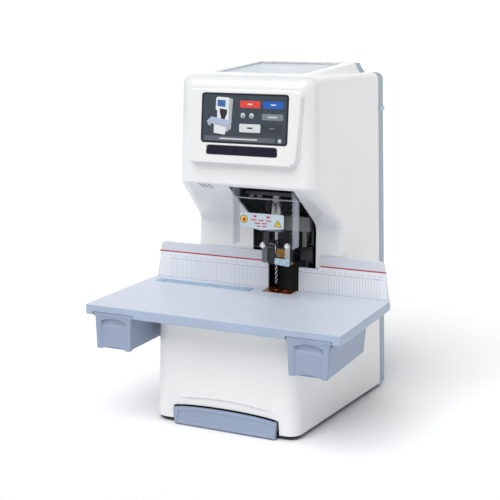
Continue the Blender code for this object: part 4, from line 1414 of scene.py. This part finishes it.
def settle_label(label: bpy.types.Object) -> bpy.types.Object:
    """A mesh object made from a text object, which is then removed.

    Args:
        label: The text object.

    Returns:
        The mesh object.
    """
    bpy.context.view_layer.update()
    mesh = bpy.data.meshes.new_from_object(label.evaluated_get(bpy.context.evaluated_depsgraph_get()))
    body = bpy.data.objects.new("LabelMesh", mesh)
    bpy.context.scene.collection.objects.link(body)
    discard(label)
    return body


# ---------------------------------------------------------------- drawers and chip tray

@dataclass
class PartsDrawer:
    """A hollow drawer under the table with a flanged, hollowed front and a finger lip."""

    side: int
    middle: float = 168.5
    low: float = 130.0
    top: float = 184.0
    lip_half: float = 21.5
    face: float = -202.0
    rear: float = -195.6
    box_front: float = -197.4
    box_back: float = -35.0

    @property
    def word(self) -> str:
        """Name of the side."""
        return "left" if self.side < 0 else "right"

    def front_depth(self, s: np.ndarray, z: np.ndarray) -> np.ndarray:
        """Depth of the front behind its ridges: a broad hollow between them, and the finger recess.

        The hollow is 2.6 mm deep between eased rims. Along an arc near the top a lip stands out, no
        further than the ridges, and under it the recess drops 3.2 mm and comes back over 9 mm.

        Args:
            s: Place across the front, from -1 to 1.
            z: Height.

        Returns:
            The depth in millimetres.
        """
        hollow = 2.6 * smoothstep((0.76 - np.abs(s)) / 0.16)
        x = s * 32.0
        lip = 175.6 + 5.6 * (1 - (x / self.lip_half) ** 2)
        deep = smoothstep((lip - z) / 0.7) * smoothstep((z - 165.0) / 9.0)
        proud = 2.6 * smoothstep((z - lip + 0.2) / 0.8) * smoothstep((lip + 7 - z) / 5.4)
        across = smoothstep((self.lip_half + 1 - np.abs(x)) / 3.0)
        return np.maximum(hollow * smoothstep((184.5 - z) / 5) + (3.2 * deep - proud) * across, 0.0)

    def front(self) -> bpy.types.Object:
        """The front panel: rings across it, each going up the shaped face and down the flat back."""
        s = np.linspace(-1, 1, 61)
        t = np.linspace(0, 1, 60)
        arch, corner = smoothstep((0.86 - np.abs(s)) / 0.8), smoothstep((np.abs(s) - 0.93) / 0.07)
        low = self.low + 4.4 * arch + 1.6 * corner
        z = low[:, None] + (self.top - low[:, None]) * t[None]
        half = 31.6 + 2.0 * (z - self.low) / 54
        edge = 1.8 * (1 - np.sqrt(np.clip(1 - ((np.abs(s) - 0.94) / 0.06).clip(0, 1) ** 2, 0, 1)))[:, None]
        y = self.face + self.front_depth(s[:, None], z) + edge
        x = self.side * self.middle + half * s[:, None]
        face = np.stack([x, y, z], -1)
        rear = face[:, ::-1].copy()
        rear[..., 1] = self.rear
        return skin(f"DrawerFront_{self.word}", np.concatenate([face, rear], 1))

    def shell(self) -> bpy.types.Object:
        """The hollow box: up the outer wall, over the rim and down the inner wall to the floor."""
        rings = []
        stations = ((self.low, 4.5, 2.2, 3.0), (self.low + 1.2, 3.9, 2.2, 3.0), (180.2, 0.0, 0.0, 3.0),
                    (180.5, 0.4, 0.4, 2.6), (180.5, 1.9, 2.2, 1.2), (180.2, 2.3, 2.2, 0.9),
                    (self.low + 2.4, 6.4, 4.1, 0.9))
        for z, step, behind, radius in stations:
            x0, x1 = sorted((self.side * (137.5 + step), self.side * (203.0 - step)))
            y0, y1 = self.box_front + behind, self.box_back - step / 2
            flat = rectangle((x0, x1), (y0, y1), radius, 4)
            rings.append(np.column_stack([flat, np.full(len(flat), z)]))
        return skin(f"DrawerBox_{self.word}", np.stack(rings))

    def build(self) -> None:
        """Builds the drawer, its top flange and its hanger's finish."""
        a, b = self.side * self.middle - 36.3, self.side * self.middle + 36.3
        flat = rectangle((a, b), (183.4, 190.0), 1.6)
        flange = slab("Flange", flat, edges(self.face, self.rear, 1.2, 0.4), Facing.BACK)
        box = self.shell()
        gap, slit = sorted((self.side * 146, self.side * 194.5)), sorted((self.side * 141, self.side * 199.5))
        opening = box_cutter((gap[0], -60.0, 173.5), (gap[1], -20.0, 200.0))
        gate = box_cutter((slit[0], -42.0, 173.5), (slit[1], -20.0, 178.2))
        carve(box, opening, gate)
        whole = gathered(f"Drawer_{self.word}", [self.front(), box, flange])
        put(whole, f"{self.word}_drawer", DRAWER, f"drawer_{self.word}")
        dress(f"drawer_carrier_{self.word}", STEEL)


@dataclass
class ChipTray:
    """The low drawer for paper chips, with a framed arched front."""

    front: float = -150.5
    back: float = -143.2

    def build(self) -> None:
        """Builds the arched front with its raised rim, and the hollow box behind."""
        turn = np.radians(np.linspace(14, 166, 21))
        arch = np.stack([2.5 + 95.0 * np.cos(turn), 26.0 + 8.2 * np.sin(turn)], -1)
        outline = np.concatenate([[(-87.2, 2.2), (93.2, 2.2)], arch])
        plate = slab("TrayPlate", outline, edges(self.front + 0.4, self.back, 1.6, 0.4), Facing.BACK)
        turn = np.radians(np.linspace(22, 158, 15))
        arch = np.stack([2.5 + 88.5 * np.cos(turn), 22.2 + 7.8 * np.sin(turn)], -1)
        inner = np.concatenate([[(-82.5, 6.6), (88.2, 6.6)], arch])
        steps = np.array([(self.front - 2, 0.0), (self.front + 0.9, 0.0), (self.front + 1.7, 1.0)])
        hollow = slab("TrayHollow", inner, steps, Facing.BACK)
        carve(plate, hollow)
        rings = []
        for z, step, radius in ((9.5, 0.6, 2.0), (10.2, 0.0, 2.0), (28.7, 0.0, 2.0), (29.0, 0.3, 1.7),
                                (29.0, 1.7, 0.8), (28.6, 2.0, 0.6), (11.6, 2.1, 0.6)):
            flat = rectangle((-82 + step, 92 - step), (-144 + step, 40 - step), radius, 4)
            rings.append(np.column_stack([flat, np.full(len(flat), z)]))
        box = skin("TrayBox", np.stack(rings))
        put(gathered("ChipTray", [plate, box]), "tray", DRAWER, "chip_tray")
        dress("tray_guide", STEEL)


# ---------------------------------------------------------------- guard

@dataclass
class Guard:
    """The clear bent shield on its pin, with a pale symbol plate on its front."""

    x: Pair = (-25.4, 82.6)
    front: float = -59.9
    back: float = -32.5
    wall: float = 2.5
    z: Pair = (290.5, 386.0)
    front_top: float = 368.5

    def build(self) -> None:
        """Builds the shield, its plate, the plate's generic signs and the pin."""
        (x0, x1), w = self.x, self.wall
        corners = [(x0, self.back), (x0, self.front), (x1, self.front), (x1, self.back), (x1 - w, self.back),
                   (x1 - w, self.front + w), (x0 + w, self.front + w), (x0 + w, self.back)]
        outline = rounded(corners, (0.9, 3.0, 3.0, 0.9, 0.9, 0.8, 0.8, 0.9), 5)
        shield = slab("GuardShield", outline, edges(*self.z, 0.4, 0.4, 2), Facing.UP)
        sight = box_cutter((x0 + w, -70.0, self.front_top), (x1 - w, 0.0, 400.0))
        pin_hole = turned("PinHole", ((-60.0, 1.9), (120.0, 1.9)), (-36.0, 366.0), Facing.RIGHT, 0.0, 16)
        put(carve(shield, sight, pin_hole), "guard", CLEAR, "safety_guard")
        corners = [(-9.6, 323.5), (28, 318.5), (67.4, 323.0), (67.4, 345.6), (-9.6, 345.6)]
        shape = rounded(corners, (2, 6, 2, 2, 2), 4)
        plate = slab("SymbolPlate", shape, edges(self.front - 1.8, self.front - 0.3, 0.3, 0.2, 2), Facing.BACK)
        put(plate, "guard", SYMBOL, "guard_plate")
        self.signs()
        dress("guard_pin", STEEL)

    def sign(self, name: str, outline: np.ndarray, finish: Finish, layer: int) -> None:
        """A thin printed shape on the plate."""
        y = self.front - 1.8
        body = slab(name, outline, np.array([(y - 0.05 * layer, 0.0), (y + 0.02, 0.0)]), Facing.BACK)
        put(body, "guard", finish)

    def signs(self) -> None:
        """A yellow disc with a red flame, a yellow triangle and rows of short red bars."""
        turn = np.linspace(0, 2 * math.pi, 28, endpoint=False)
        circle = np.stack([np.cos(turn), np.sin(turn)], -1)
        self.sign("SignDiscRim", circle * 6.8 + (-2.6, 334.8), MATT, 1)
        self.sign("SignDisc", circle * 6.0 + (-2.6, 334.8), YELLOW_INK, 2)
        self.sign("SignDiscCore", circle * (3.0, 3.6) + (-2.2, 334.4), RED_INK, 3)
        self.sign("SignTriangleRim", rounded([(50.2, 325.7), (64.4, 325.7), (57.3, 338.2)], 1.2, 3), MATT, 1)
        self.sign("SignTriangle", rounded([(51.6, 326.5), (63.0, 326.5), (57.3, 336.6)], 0.8, 3), YELLOW_INK, 2)
        self.sign("SignBar", rectangle((56.9, 57.7), (328.9, 333.4), 0.3, 2), MATT, 3)
        self.sign("SignDot", circle * 0.45 + (57.3, 327.9), MATT, 3)
        rows = []
        for z, spans in ((340.6, ((14.5, 19.5), (37.5, 43.0))), (334.6, ((10, 20), (23, 33), (36, 46))),
                         (329.6, ((16, 26), (29, 39))), (325.0, ((20, 27), (30, 37)))):
            tall = 3.6 if z > 340 else 1.9
            rows += [(a, b, z - tall / 2, z + tall / 2) for a, b in spans]
        y = self.front - 1.8
        put(bars("SignBars", np.array(rows), (y - 0.06, y + 0.02)), "guard", RED_INK)


# ---------------------------------------------------------------- drill unit

@dataclass
class DrillUnit:
    """Rails, top plate, lead screw, carriage, spindle, bit and belt drive."""

    axis: Pair = (21.0, 17.5)
    screw: Pair = (38.0, 39.0)
    motor: Pair = (62.0, 17.5)

    def helix(self, name: str, centre: Pair, span: Pair, reach: float, depth: float, pitch: float,
              starts: int = 1, columns: int = 24, per_turn: int = 12) -> bpy.types.Object:
        """A threaded rod: its radius at angle a and height z is reach - depth (1 + cos(phase)) / 2,
        with phase = 2 pi z / pitch - starts a.

        Args:
            name: Name of the piece.
            centre: Where its axis is.
            span: Lowest and highest z.
            reach: Radius of the crests.
            depth: Depth of the grooves.
            pitch: Rise of one groove in a turn.
            starts: Number of grooves.
            columns: Points round the axis.
            per_turn: Rings in one pitch.

        Returns:
            The new object.
        """
        rows = int((span[1] - span[0]) / pitch * per_turn) + 1
        z = np.linspace(*span, rows)[:, None]
        turn = np.linspace(0, 2 * math.pi, columns, endpoint=False)[None]
        wave = (1 + np.cos(2 * math.pi * z / pitch - starts * turn)) / 2
        radius = reach - depth * smoothstep(wave)
        rod = skin(name, facing_points(centre[0] + radius * np.cos(turn), centre[1] + radius * np.sin(turn),
                                       z + 0 * turn, Facing.UP))
        place = np.empty(len(rod.data.vertices) * 3, np.float32)
        rod.data.vertices.foreach_get("co", place)
        x, y, _ = place.reshape(-1, 3).T / MM
        # Groove depth of each point, which the groove finish turns into painted shade.
        share = (reach - np.hypot(x - centre[0], y - centre[1])) / depth
        rod.data.attributes.new("groove", "FLOAT", "POINT").data.foreach_set("value", share.astype(np.float32))
        return rod

    def fixed(self) -> None:
        """Black column, rails and beam, the grey top plate and the feed motor."""
        put(refined("frame_column", "FrameColumn", 1.0), "machine", MATT, "frame_column")
        put(refined("lower_arm", "LowerArm", 1.0), "machine", BLACK, "lower_arm")
        for word in ("left", "right"):
            put(refined(f"rail_{word}", f"Rail_{word}", 0.5), "machine", BLACK, f"rail_{word}")
        put(refined("top_plate", "TopPlate", 1.0), "machine", DARK_GREY, "top_plate")
        put(refined("feed_motor", "FeedMotor", 0.6), "machine", MATT, "feed_motor")
        put(refined("motor_bracket", "MotorBracket", 0.6), "drill_carriage", GREY, "motor_bracket")
        profile = ((358.6, 1.4), (358.6, 3.2), (361.0, 4.2), (361.0, 5.0), (367.9, 5.0), (367.9, 1.4))
        studs = [turned("Stud", profile, centre) for centre in ((-16.0, -4.0), (-5.0, 4.0))]
        put(gathered("PlateStuds", studs), "machine", GREY)

    def carriage(self) -> None:
        """The sliding block, the tapered sleeve with its bore for the spindle and its set screw, the drill
        motor and the belt.
        """
        put(refined("carriage", "CarriageBlock", 1.2), "drill_carriage", GREY, "carriage")
        x, y = self.axis
        profile = [(329.3, 3.4), (329.3, 9.6), (333.4, 9.6), (333.4, 9.9), (345.0, 9.4), (352.0, 9.0),
                   (352.4, 8.2), (362.0, 8.0), (366.0, 7.9), (425.0, 7.9), (425.0, 3.4)]
        sleeve = turned("SpindleSleeve", profile, (x, y))
        bore = turned("Bore", ((320.0, 3.4), (430.0, 3.4)), (x, y), radius=0.0)
        hole = turned("SetHole", ((y - 14.0, 2.0), (y - 6.0, 2.0)), (x, 349.0), Facing.BACK, 0.0, 20)
        put(carve(sleeve, bore, hole), "drill_carriage", LATHE, "spindle_sleeve")
        profile = ((y - 8.6, 0.6), (y - 8.6, 1.5), (y - 6.5, 1.7), (y - 6.5, 0.6))
        grub = turned("SetScrew", profile, (x, 349.0), Facing.BACK)
        put(grub, "drill_carriage", MATT)
        put(refined("drill_motor", "DrillMotor", 0.8), "drill_carriage", MATT, "drill_motor")
        put(refined("drive_belt", "DriveBelt", 0.3), "drill_carriage", BELT, "drive_belt")

    def spinning(self) -> None:
        """Spindle with its chuck nose, both pulleys, the lead screw and the fluted hollow bit."""
        rod = [(287.0, 1.6), (287.0, 2.4), (288.4, 3.0), (446.0, 3.0), (446.0, 2.4)]
        put(turned("SpindleRod", rod, self.axis), "spindle_group", LATHE, "spindle")
        groove = [(432.6, 3.4), (432.6, 13.4), (433.6, 13.4), (433.9, 12.0), (442.0, 12.0), (442.2, 13.0),
                  (443.0, 13.0), (443.0, 3.4)]
        put(turned("SpindlePulley", groove, self.axis), "spindle_group", STEEL, "spindle_pulley")
        small = [(426.0, 1.0), (426.0, 2.0), (432.5, 2.0), (432.6, 9.2), (433.6, 9.2), (433.9, 8.0),
                 (442.0, 8.0), (442.2, 9.0), (443.0, 9.0), (443.0, 1.0)]
        put(turned("MotorPulley", small, self.motor), "motor_rotor", STEEL, "motor_pulley")
        # The lead screw and the bit get painted shade in their grooves from the depth kept on their points.
        screw = self.helix("LeadScrew", self.screw, (288.0, 483.5), 4.0, 0.8, 8.0, 1, 20, 10)
        put(screw, "screw", THREAD, "lead_screw", smooth=60)
        bit = self.helix("DrillBit", self.axis, (213.0, 286.7), 2.1, 0.75, 8.0, 2, 24, 16)
        bore = turned("BitBore", ((200.0, 1.2), (224.0, 1.2)), self.axis, radius=0.0, sides=16)
        put(carve(bit, bore), "spindle_group", FLUTES, "drill_bit", smooth=60)

    def build(self) -> None:
        """Builds the whole unit."""
        self.fixed()
        self.carriage()
        self.spinning()


# ---------------------------------------------------------------- clamp and rivet head

@dataclass
class Clamp:
    """The presser round the drill, its fittings, the heated upper die, the anvil and the lower die."""

    drill: Pair = (21.0, 17.5)
    die: Pair = (37.5, 17.5)

    def knob(self, name: str, centre: Pair, span: Pair, node: str) -> None:
        """A bright screw head with a round rim and a slot across it.

        Args:
            name: Name of the piece.
            centre: Its x and z.
            span: Its front and back y.
            node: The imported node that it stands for.
        """
        front, back = span
        profile = [(front, 0.5), (front, 3.2), (front + 1.0, 4.9), (front + 2.2, 5.3), (back - 0.6, 5.3),
                   (back, 4.9), (back, 0.5)]
        head = turned(name, profile, centre, Facing.BACK, 0.5)
        x, z = centre
        slot = box_cutter((x - 4.2, front - 1.0, z - 0.6), (x + 4.2, front + 1.3, z + 0.6))
        put(carve(head, slot), "presser", CHROME, node)

    def arm(self) -> None:
        """The black arm, its silver bracket, the zinc plate with two screws and the brass screw."""
        put(refined("presser_arm", "PresserArm", 0.9), "presser", BLACK, "presser_arm")
        shape = rectangle((-0.5, 9.7), (250, 287), 2.2)
        bracket = slab("PresserBracket", shape, edges(5.0, 9.0, 0.5, 0.5), Facing.BACK)
        put(bracket, "presser", DULL, "presser_bracket")
        outline = rounded([(28, 251.5), (52, 249), (55, 251), (55, 262), (28, 262)], (1.2, 2, 1.0, 1, 1), 4)
        plate = slab("PresserFoot", outline, edges(-6.2, -3.0, 0.5, 0.3), Facing.BACK)
        put(plate, "presser", ZINC, "presser_foot")
        web = rounded([(45.5, 262), (55, 262), (55, 284), (46.5, 284)], 1.5, 4)
        put(slab("FootWeb", web, edges(-5.6, -3.0, 0.4, 0.3), Facing.BACK), "presser", STEEL)
        heads = [turned("Screw", ((-7.6, 0.4), (-7.6, 1.4), (-6.9, 2.2), (-6.2, 2.3), (-6.2, 0.4)), (x, 256.4),
                        Facing.BACK, 0.2, 24) for x in (33.0, 45.0)]
        put(gathered("FootScrews", heads), "presser", CHROME)
        profile = [(-6.0, 0.4), (-6.0, 1.8), (-5.4, 2.4), (-3.0, 2.4), (-3.0, 0.4)]
        screw = turned("AdjustScrew", profile, (58.5, 255.5), Facing.BACK, 0.2, 24)
        put(screw, "presser", BRASS, "adjust_screw")
        self.knob("PresserKnobLeft", (4.2, 281.0), (-4.5, 4.7), "presser_knob_left")
        self.knob("PresserKnobRight", (49.5, 283.5), (-7.0, 2.2), "presser_knob_right")

    def lines(self) -> None:
        """Thin silver wires and dark hoses that loop over the arm."""
        wires = [
            wire("Wire", [(14, 3.0, 283), (20, 1.4, 285), (25.5, 1.0, 282), (26.5, 1.2, 276), (27, 1.6, 270),
                          (29.5, 1.2, 266)], 0.55),
            wire("Wire", [(25.5, 2.8, 256), (24.6, 0.6, 253), (27, -0.8, 250.6), (30, -1.6, 249.4)], 0.6),
        ]
        put(gathered("SilverWires", wires), "presser", CHROME)
        level = (0, 1, 0.3)
        hoses = [
            wire("Hose", [(12, 12, 283.0), (14.5, 16, 286.6), (21, 26, 287.0), (31, 27, 286.6), (41, 20, 286),
                          (44.4, 10, 283.5), (44.8, 7.5, 279)], 1.5, level),
            wire("Hose", [(14, 29, 283.0), (18, 31, 285.6), (27, 33, 286), (38, 33.5, 285.4), (46, 33, 281.5),
                          (50, 33, 275)], 1.2, level),
        ]
        put(gathered("DarkHoses", hoses), "presser", RUBBER)

    def dies(self) -> None:
        """The stepped brass block with its punch, the heat-stained anvil and the lower die with a red ring."""
        block = slab("Block", rectangle((30, 45), (262.5, 277), 1.2), edges(-2.0, 27.0, 0.8, 0.8), Facing.BACK)
        line = rectangle((29, 46), (268.4, 269.6), 0.3)
        carve(block, slab("Groove", line, np.array([(-4.0, 0.0), (-1.0, 0.0)]), Facing.BACK))
        profile = [(249.5, 0.5), (249.5, 1.8), (251.0, 2.6), (258.0, 3.0), (263.0, 3.0), (263.0, 0.5)]
        punch = turned("Punch", profile, self.die)
        put(gathered("UpperDie", [block, punch]), "rivet_die", BRASS, "upper_die")
        anvil = slab("Anvil", rectangle((1.4, 53.6), (0.9, 36.0), 1.5), edges(184.2, 201.2, 0.4, 0.9),
                     Facing.UP)
        holes = []
        for centre, reach in ((self.drill, 4.6), (self.die, 5.6)):
            profile = ((170.0, reach), (199.9, reach), (200.3, reach + 0.2), (210.0, reach + 2.2))
            holes.append(turned("Hole", profile, centre, radius=0.1))
        put(carve(anvil, *holes), "machine", COPPER, "anvil_plate")
        ring = pipe("DieRing", 5.0, 3.9, (194.8, 200.4), self.die, Facing.UP)
        put(ring, "anvil_die", RED_INK)
        profile = [(146.0, 2.0), (146.0, 8.0), (150.0, 8.0), (150.3, 5.2), (194.0, 5.2), (194.6, 3.7),
                   (196.0, 3.6), (196.0, 0.6)]
        put(turned("LowerDie", profile, self.die), "anvil_die", CHROME, "lower_die")
        put(refined("chip_chute", "ChipChute", 0.3), "machine", GREY, "chip_chute")

    def build(self) -> None:
        """Builds the clamp, its wires and the dies."""
        self.arm()
        self.lines()
        self.dies()


# ---------------------------------------------------------------- roof tray

@dataclass
class TubeStore:
    """The tray in the roof, its clear lid and the nylon tubes kept in it."""

    rear: float = 165.0
    pin: Pair = (-3.3, -1.7)

    def onto_roof(self, body: bpy.types.Object) -> bpy.types.Object:
        """Turns a piece modelled from the tray's back edge onto the sloping roof, and returns it."""
        tilt = Matrix.Rotation(math.atan(0.0625), 4, "X")
        place = Vector((0.0, self.rear, float(roof_height(np.array(self.rear))))) * MM
        body.data.transform(Matrix.Translation(place) @ tilt)
        return body

    def tubes(self) -> None:
        """Layers of short tubes, each a closed ring of wall carried along its length."""
        rng = np.random.default_rng(7)
        bundle = []
        for layer in range(4):
            for column in range(15 - layer % 2):
                x = -57 + 5.8 * column + 2.9 * (layer % 2)
                start = -150 + float(rng.uniform(0, 16))
                stop = -31 - float(rng.uniform(0, 14))
                z = -38.0 + 2.9 + 5.1 * layer
                bundle.append(pipe("Tube", 2.8, 1.9, (start, stop), (x, z), Facing.BACK, 8))
        put(self.onto_roof(gathered("NylonTubes", bundle)), "machine", NYLON, "tube_bundle")

    def lid(self) -> None:
        """The clear lid with round corners, a ridge along its edge and a bead round its hinge."""
        outline = rectangle((-75.2, 75.2), (-177.4, -3.3), 5.0)
        sheet = slab("Lid", outline, edges(-3.2, 0.3, 0.3, 0.8), Facing.UP)
        rim = rectangle((-70.0, 70.0), (-172.0, -9.0), 4.0)
        sink = slab("Sink", rim, np.array([(-1.1, 0.8), (0.0, 0.0), (2.0, 0.0)]), Facing.UP)
        profile = ((-75.2, 1.2), (-75.2, 2.0), (75.2, 2.0), (75.2, 1.2))
        bead = turned("Bead", profile, self.pin, Facing.RIGHT, 0.2, 20)
        modifier = sheet.modifiers.new("Bead", "BOOLEAN")
        modifier.operation, modifier.solver, modifier.object = "UNION", "EXACT", bead
        settle(sheet)
        discard(bead)
        bore = turned("Bore", ((-90.0, 1.3), (90.0, 1.3)), self.pin, Facing.RIGHT, 0.0, 16)
        put(self.onto_roof(carve(sheet, sink, bore)), "lid", LID, "top_lid")

    def build(self) -> None:
        """Builds the tray, tubes and lid."""
        put(refined("tube_tray", "TubeTray", 0.5), "machine", CASING, "tube_tray")
        self.tubes()
        self.lid()
        dress("lid_pin", STEEL)


# ---------------------------------------------------------------- electrics

@dataclass
class Electrics:
    """What lies behind the back cover: board, supply, fan and mains inlet."""

    fan: Pair = (60.0, 430.0)

    def inlet(self) -> None:
        """The inlet with a cut-cornered socket, three flat pins and the rocker."""
        body = refined("power_inlet", "PowerInlet", 0.5)
        put(body, "machine", SOCKET, "power_inlet")
        pins = np.array([(-107.6, -105.4, 57.5, 62.5), (-101.1, -98.9, 61.5, 66.5), (-94.6, -92.4, 57.5, 62.5)])
        put(bars("InletPins", pins, (188.0, 200.0)), "machine", CHROME)
        put(refined("power_switch", "PowerSwitch", 0.4), "rocker", RUBBER, "power_switch")

    def build(self) -> None:
        """Dresses the board, supply, fan and its frame, and builds the inlet."""
        dress("control_board", BOARD)
        put(refined("power_supply", "PowerSupply", 0.8), "machine", STEEL, "power_supply")
        put(refined("fan_frame", "FanFrame", 0.6), "machine", MATT, "fan_frame")
        put(refined("cooling_fan", "CoolingFan", 0.25), "fan", MATT, "cooling_fan")
        rng = np.random.default_rng(3)
        x, z = rng.uniform(-106, -58, 14), rng.uniform(206, 320, 14)
        w, h = rng.uniform(3, 10, 14), rng.uniform(3, 12, 14)
        chips = np.stack([x, np.minimum(x + w, -51), z, np.minimum(z + h, 329)], -1)
        put(bars("BoardChips", chips, (147.6, 149.95)), "machine", MATT)
        self.inlet()


# ---------------------------------------------------------------- studio

@dataclass
class Studio:
    """Pale floor, soft lights and the camera."""

    eye: Triple = (0.7499, -1.6567, 0.6448)
    yaw: float = 0.4352
    pitch: float = 0.2022
    roll: float = 0.0031
    lens: float = 79.35

    def floor(self) -> None:
        """A wide floor that rises softly into a backdrop far behind."""
        turn = np.linspace(0, math.pi / 2, 13)
        y = np.concatenate([[-6000.0], 4000 + 1500 * np.sin(turn), [5500.0]])
        z = np.concatenate([[0.0], 1500 * (1 - np.cos(turn)), [6000.0]])
        x = np.array([-7000.0, 7000.0])
        grid = np.stack([np.broadcast_to(x[None], (len(y), 2)), np.repeat(y[:, None], 2, 1),
                         np.repeat(z[:, None], 2, 1)], -1)
        floor = solid("StudioFloor", grid, lattice(len(y), 2, False).tolist())
        if floor.data.polygons[0].normal.z < 0:
            floor.data.flip_normals()
        paper = Finish("studio_paper", "stage", tint(250, 250, 250), 0.75, drift=0.004, drift_size=400.0,
                       grain=0.0)
        floor.data.materials.append(paper.material())
        floor.data.shade_smooth()

    def lamp(self, name: str, place: Triple, aim: Triple, size: Pair, power: float) -> None:
        """A soft rectangular lamp that looks at a point.

        Args:
            name: Name of the lamp.
            place: Where it is, in metres.
            aim: The point it looks at.
            size: Its width and height.
            power: Its power in watts.
        """
        light = bpy.data.lights.new(name, "AREA")
        light.shape, light.size, light.size_y, light.energy = "RECTANGLE", size[0], size[1], power
        body = bpy.data.objects.new(name, light)
        body.location = place
        body.rotation_euler = (Vector(aim) - Vector(place)).to_track_quat("-Z", "Y").to_euler()
        bpy.context.scene.collection.objects.link(body)

    def sun(self) -> None:
        """A very soft, even light from high in front, a little to the left."""
        light = bpy.data.lights.new("SoftSun", "SUN")
        light.energy, light.angle = 2.55, math.radians(50)
        body = bpy.data.objects.new("SoftSun", light)
        body.rotation_euler = Vector((0.12, 0.62, -0.9)).to_track_quat("-Z", "Y").to_euler()
        bpy.context.scene.collection.objects.link(body)

    def camera(self) -> None:
        """The camera, from its place and its three angles."""
        data = bpy.data.cameras.new("StudioCamera")
        data.lens, data.sensor_width, data.clip_start, data.clip_end = self.lens, 36.0, 0.05, 50.0
        body = bpy.data.objects.new("StudioCamera", data)
        turn = Matrix.Rotation(self.yaw, 4, "Z") @ Matrix.Rotation(math.pi / 2 - self.pitch, 4, "X")
        body.matrix_world = Matrix.Translation(self.eye) @ turn @ Matrix.Rotation(self.roll, 4, "Z")
        bpy.context.scene.collection.objects.link(body)
        bpy.context.scene.camera = body

    def sky(self) -> None:
        """An even, nearly white surround."""
        world = bpy.data.worlds.new("StudioWorld")
        world.use_nodes = True
        shade = world.node_tree.nodes["Background"]
        shade.inputs["Color"].default_value = (0.96, 0.98, 1.0, 1.0)
        shade.inputs["Strength"].default_value = 0.33
        bpy.context.scene.world = world

    def build(self) -> None:
        """Sets the studio up."""
        self.floor()
        self.sky()
        self.sun()
        self.lamp("SideLamp", (2.8, -0.4, 1.3), (0, 0, 0.3), (1.6, 2.0), 7.0)
        self.camera()
        scene = bpy.context.scene
        scene.view_settings.view_transform = "Standard"
        scene.view_settings.look = "None"


def main() -> None:
    """Builds every sub-assembly in order."""
    logging.basicConfig(level=logging.INFO, format="%(name)s %(message)s")
    Studio().build()
    for part in (Casing(), Panel(), WorkTable(), PartsDrawer(-1), PartsDrawer(1), ChipTray(), Guard(),
                 DrillUnit(), Clamp(), TubeStore(), Electrics()):
        LOG.info("== %s", type(part).__name__)
        part.build()
    bpy.context.view_layer.update()


if __name__ == "__main__":
    main()
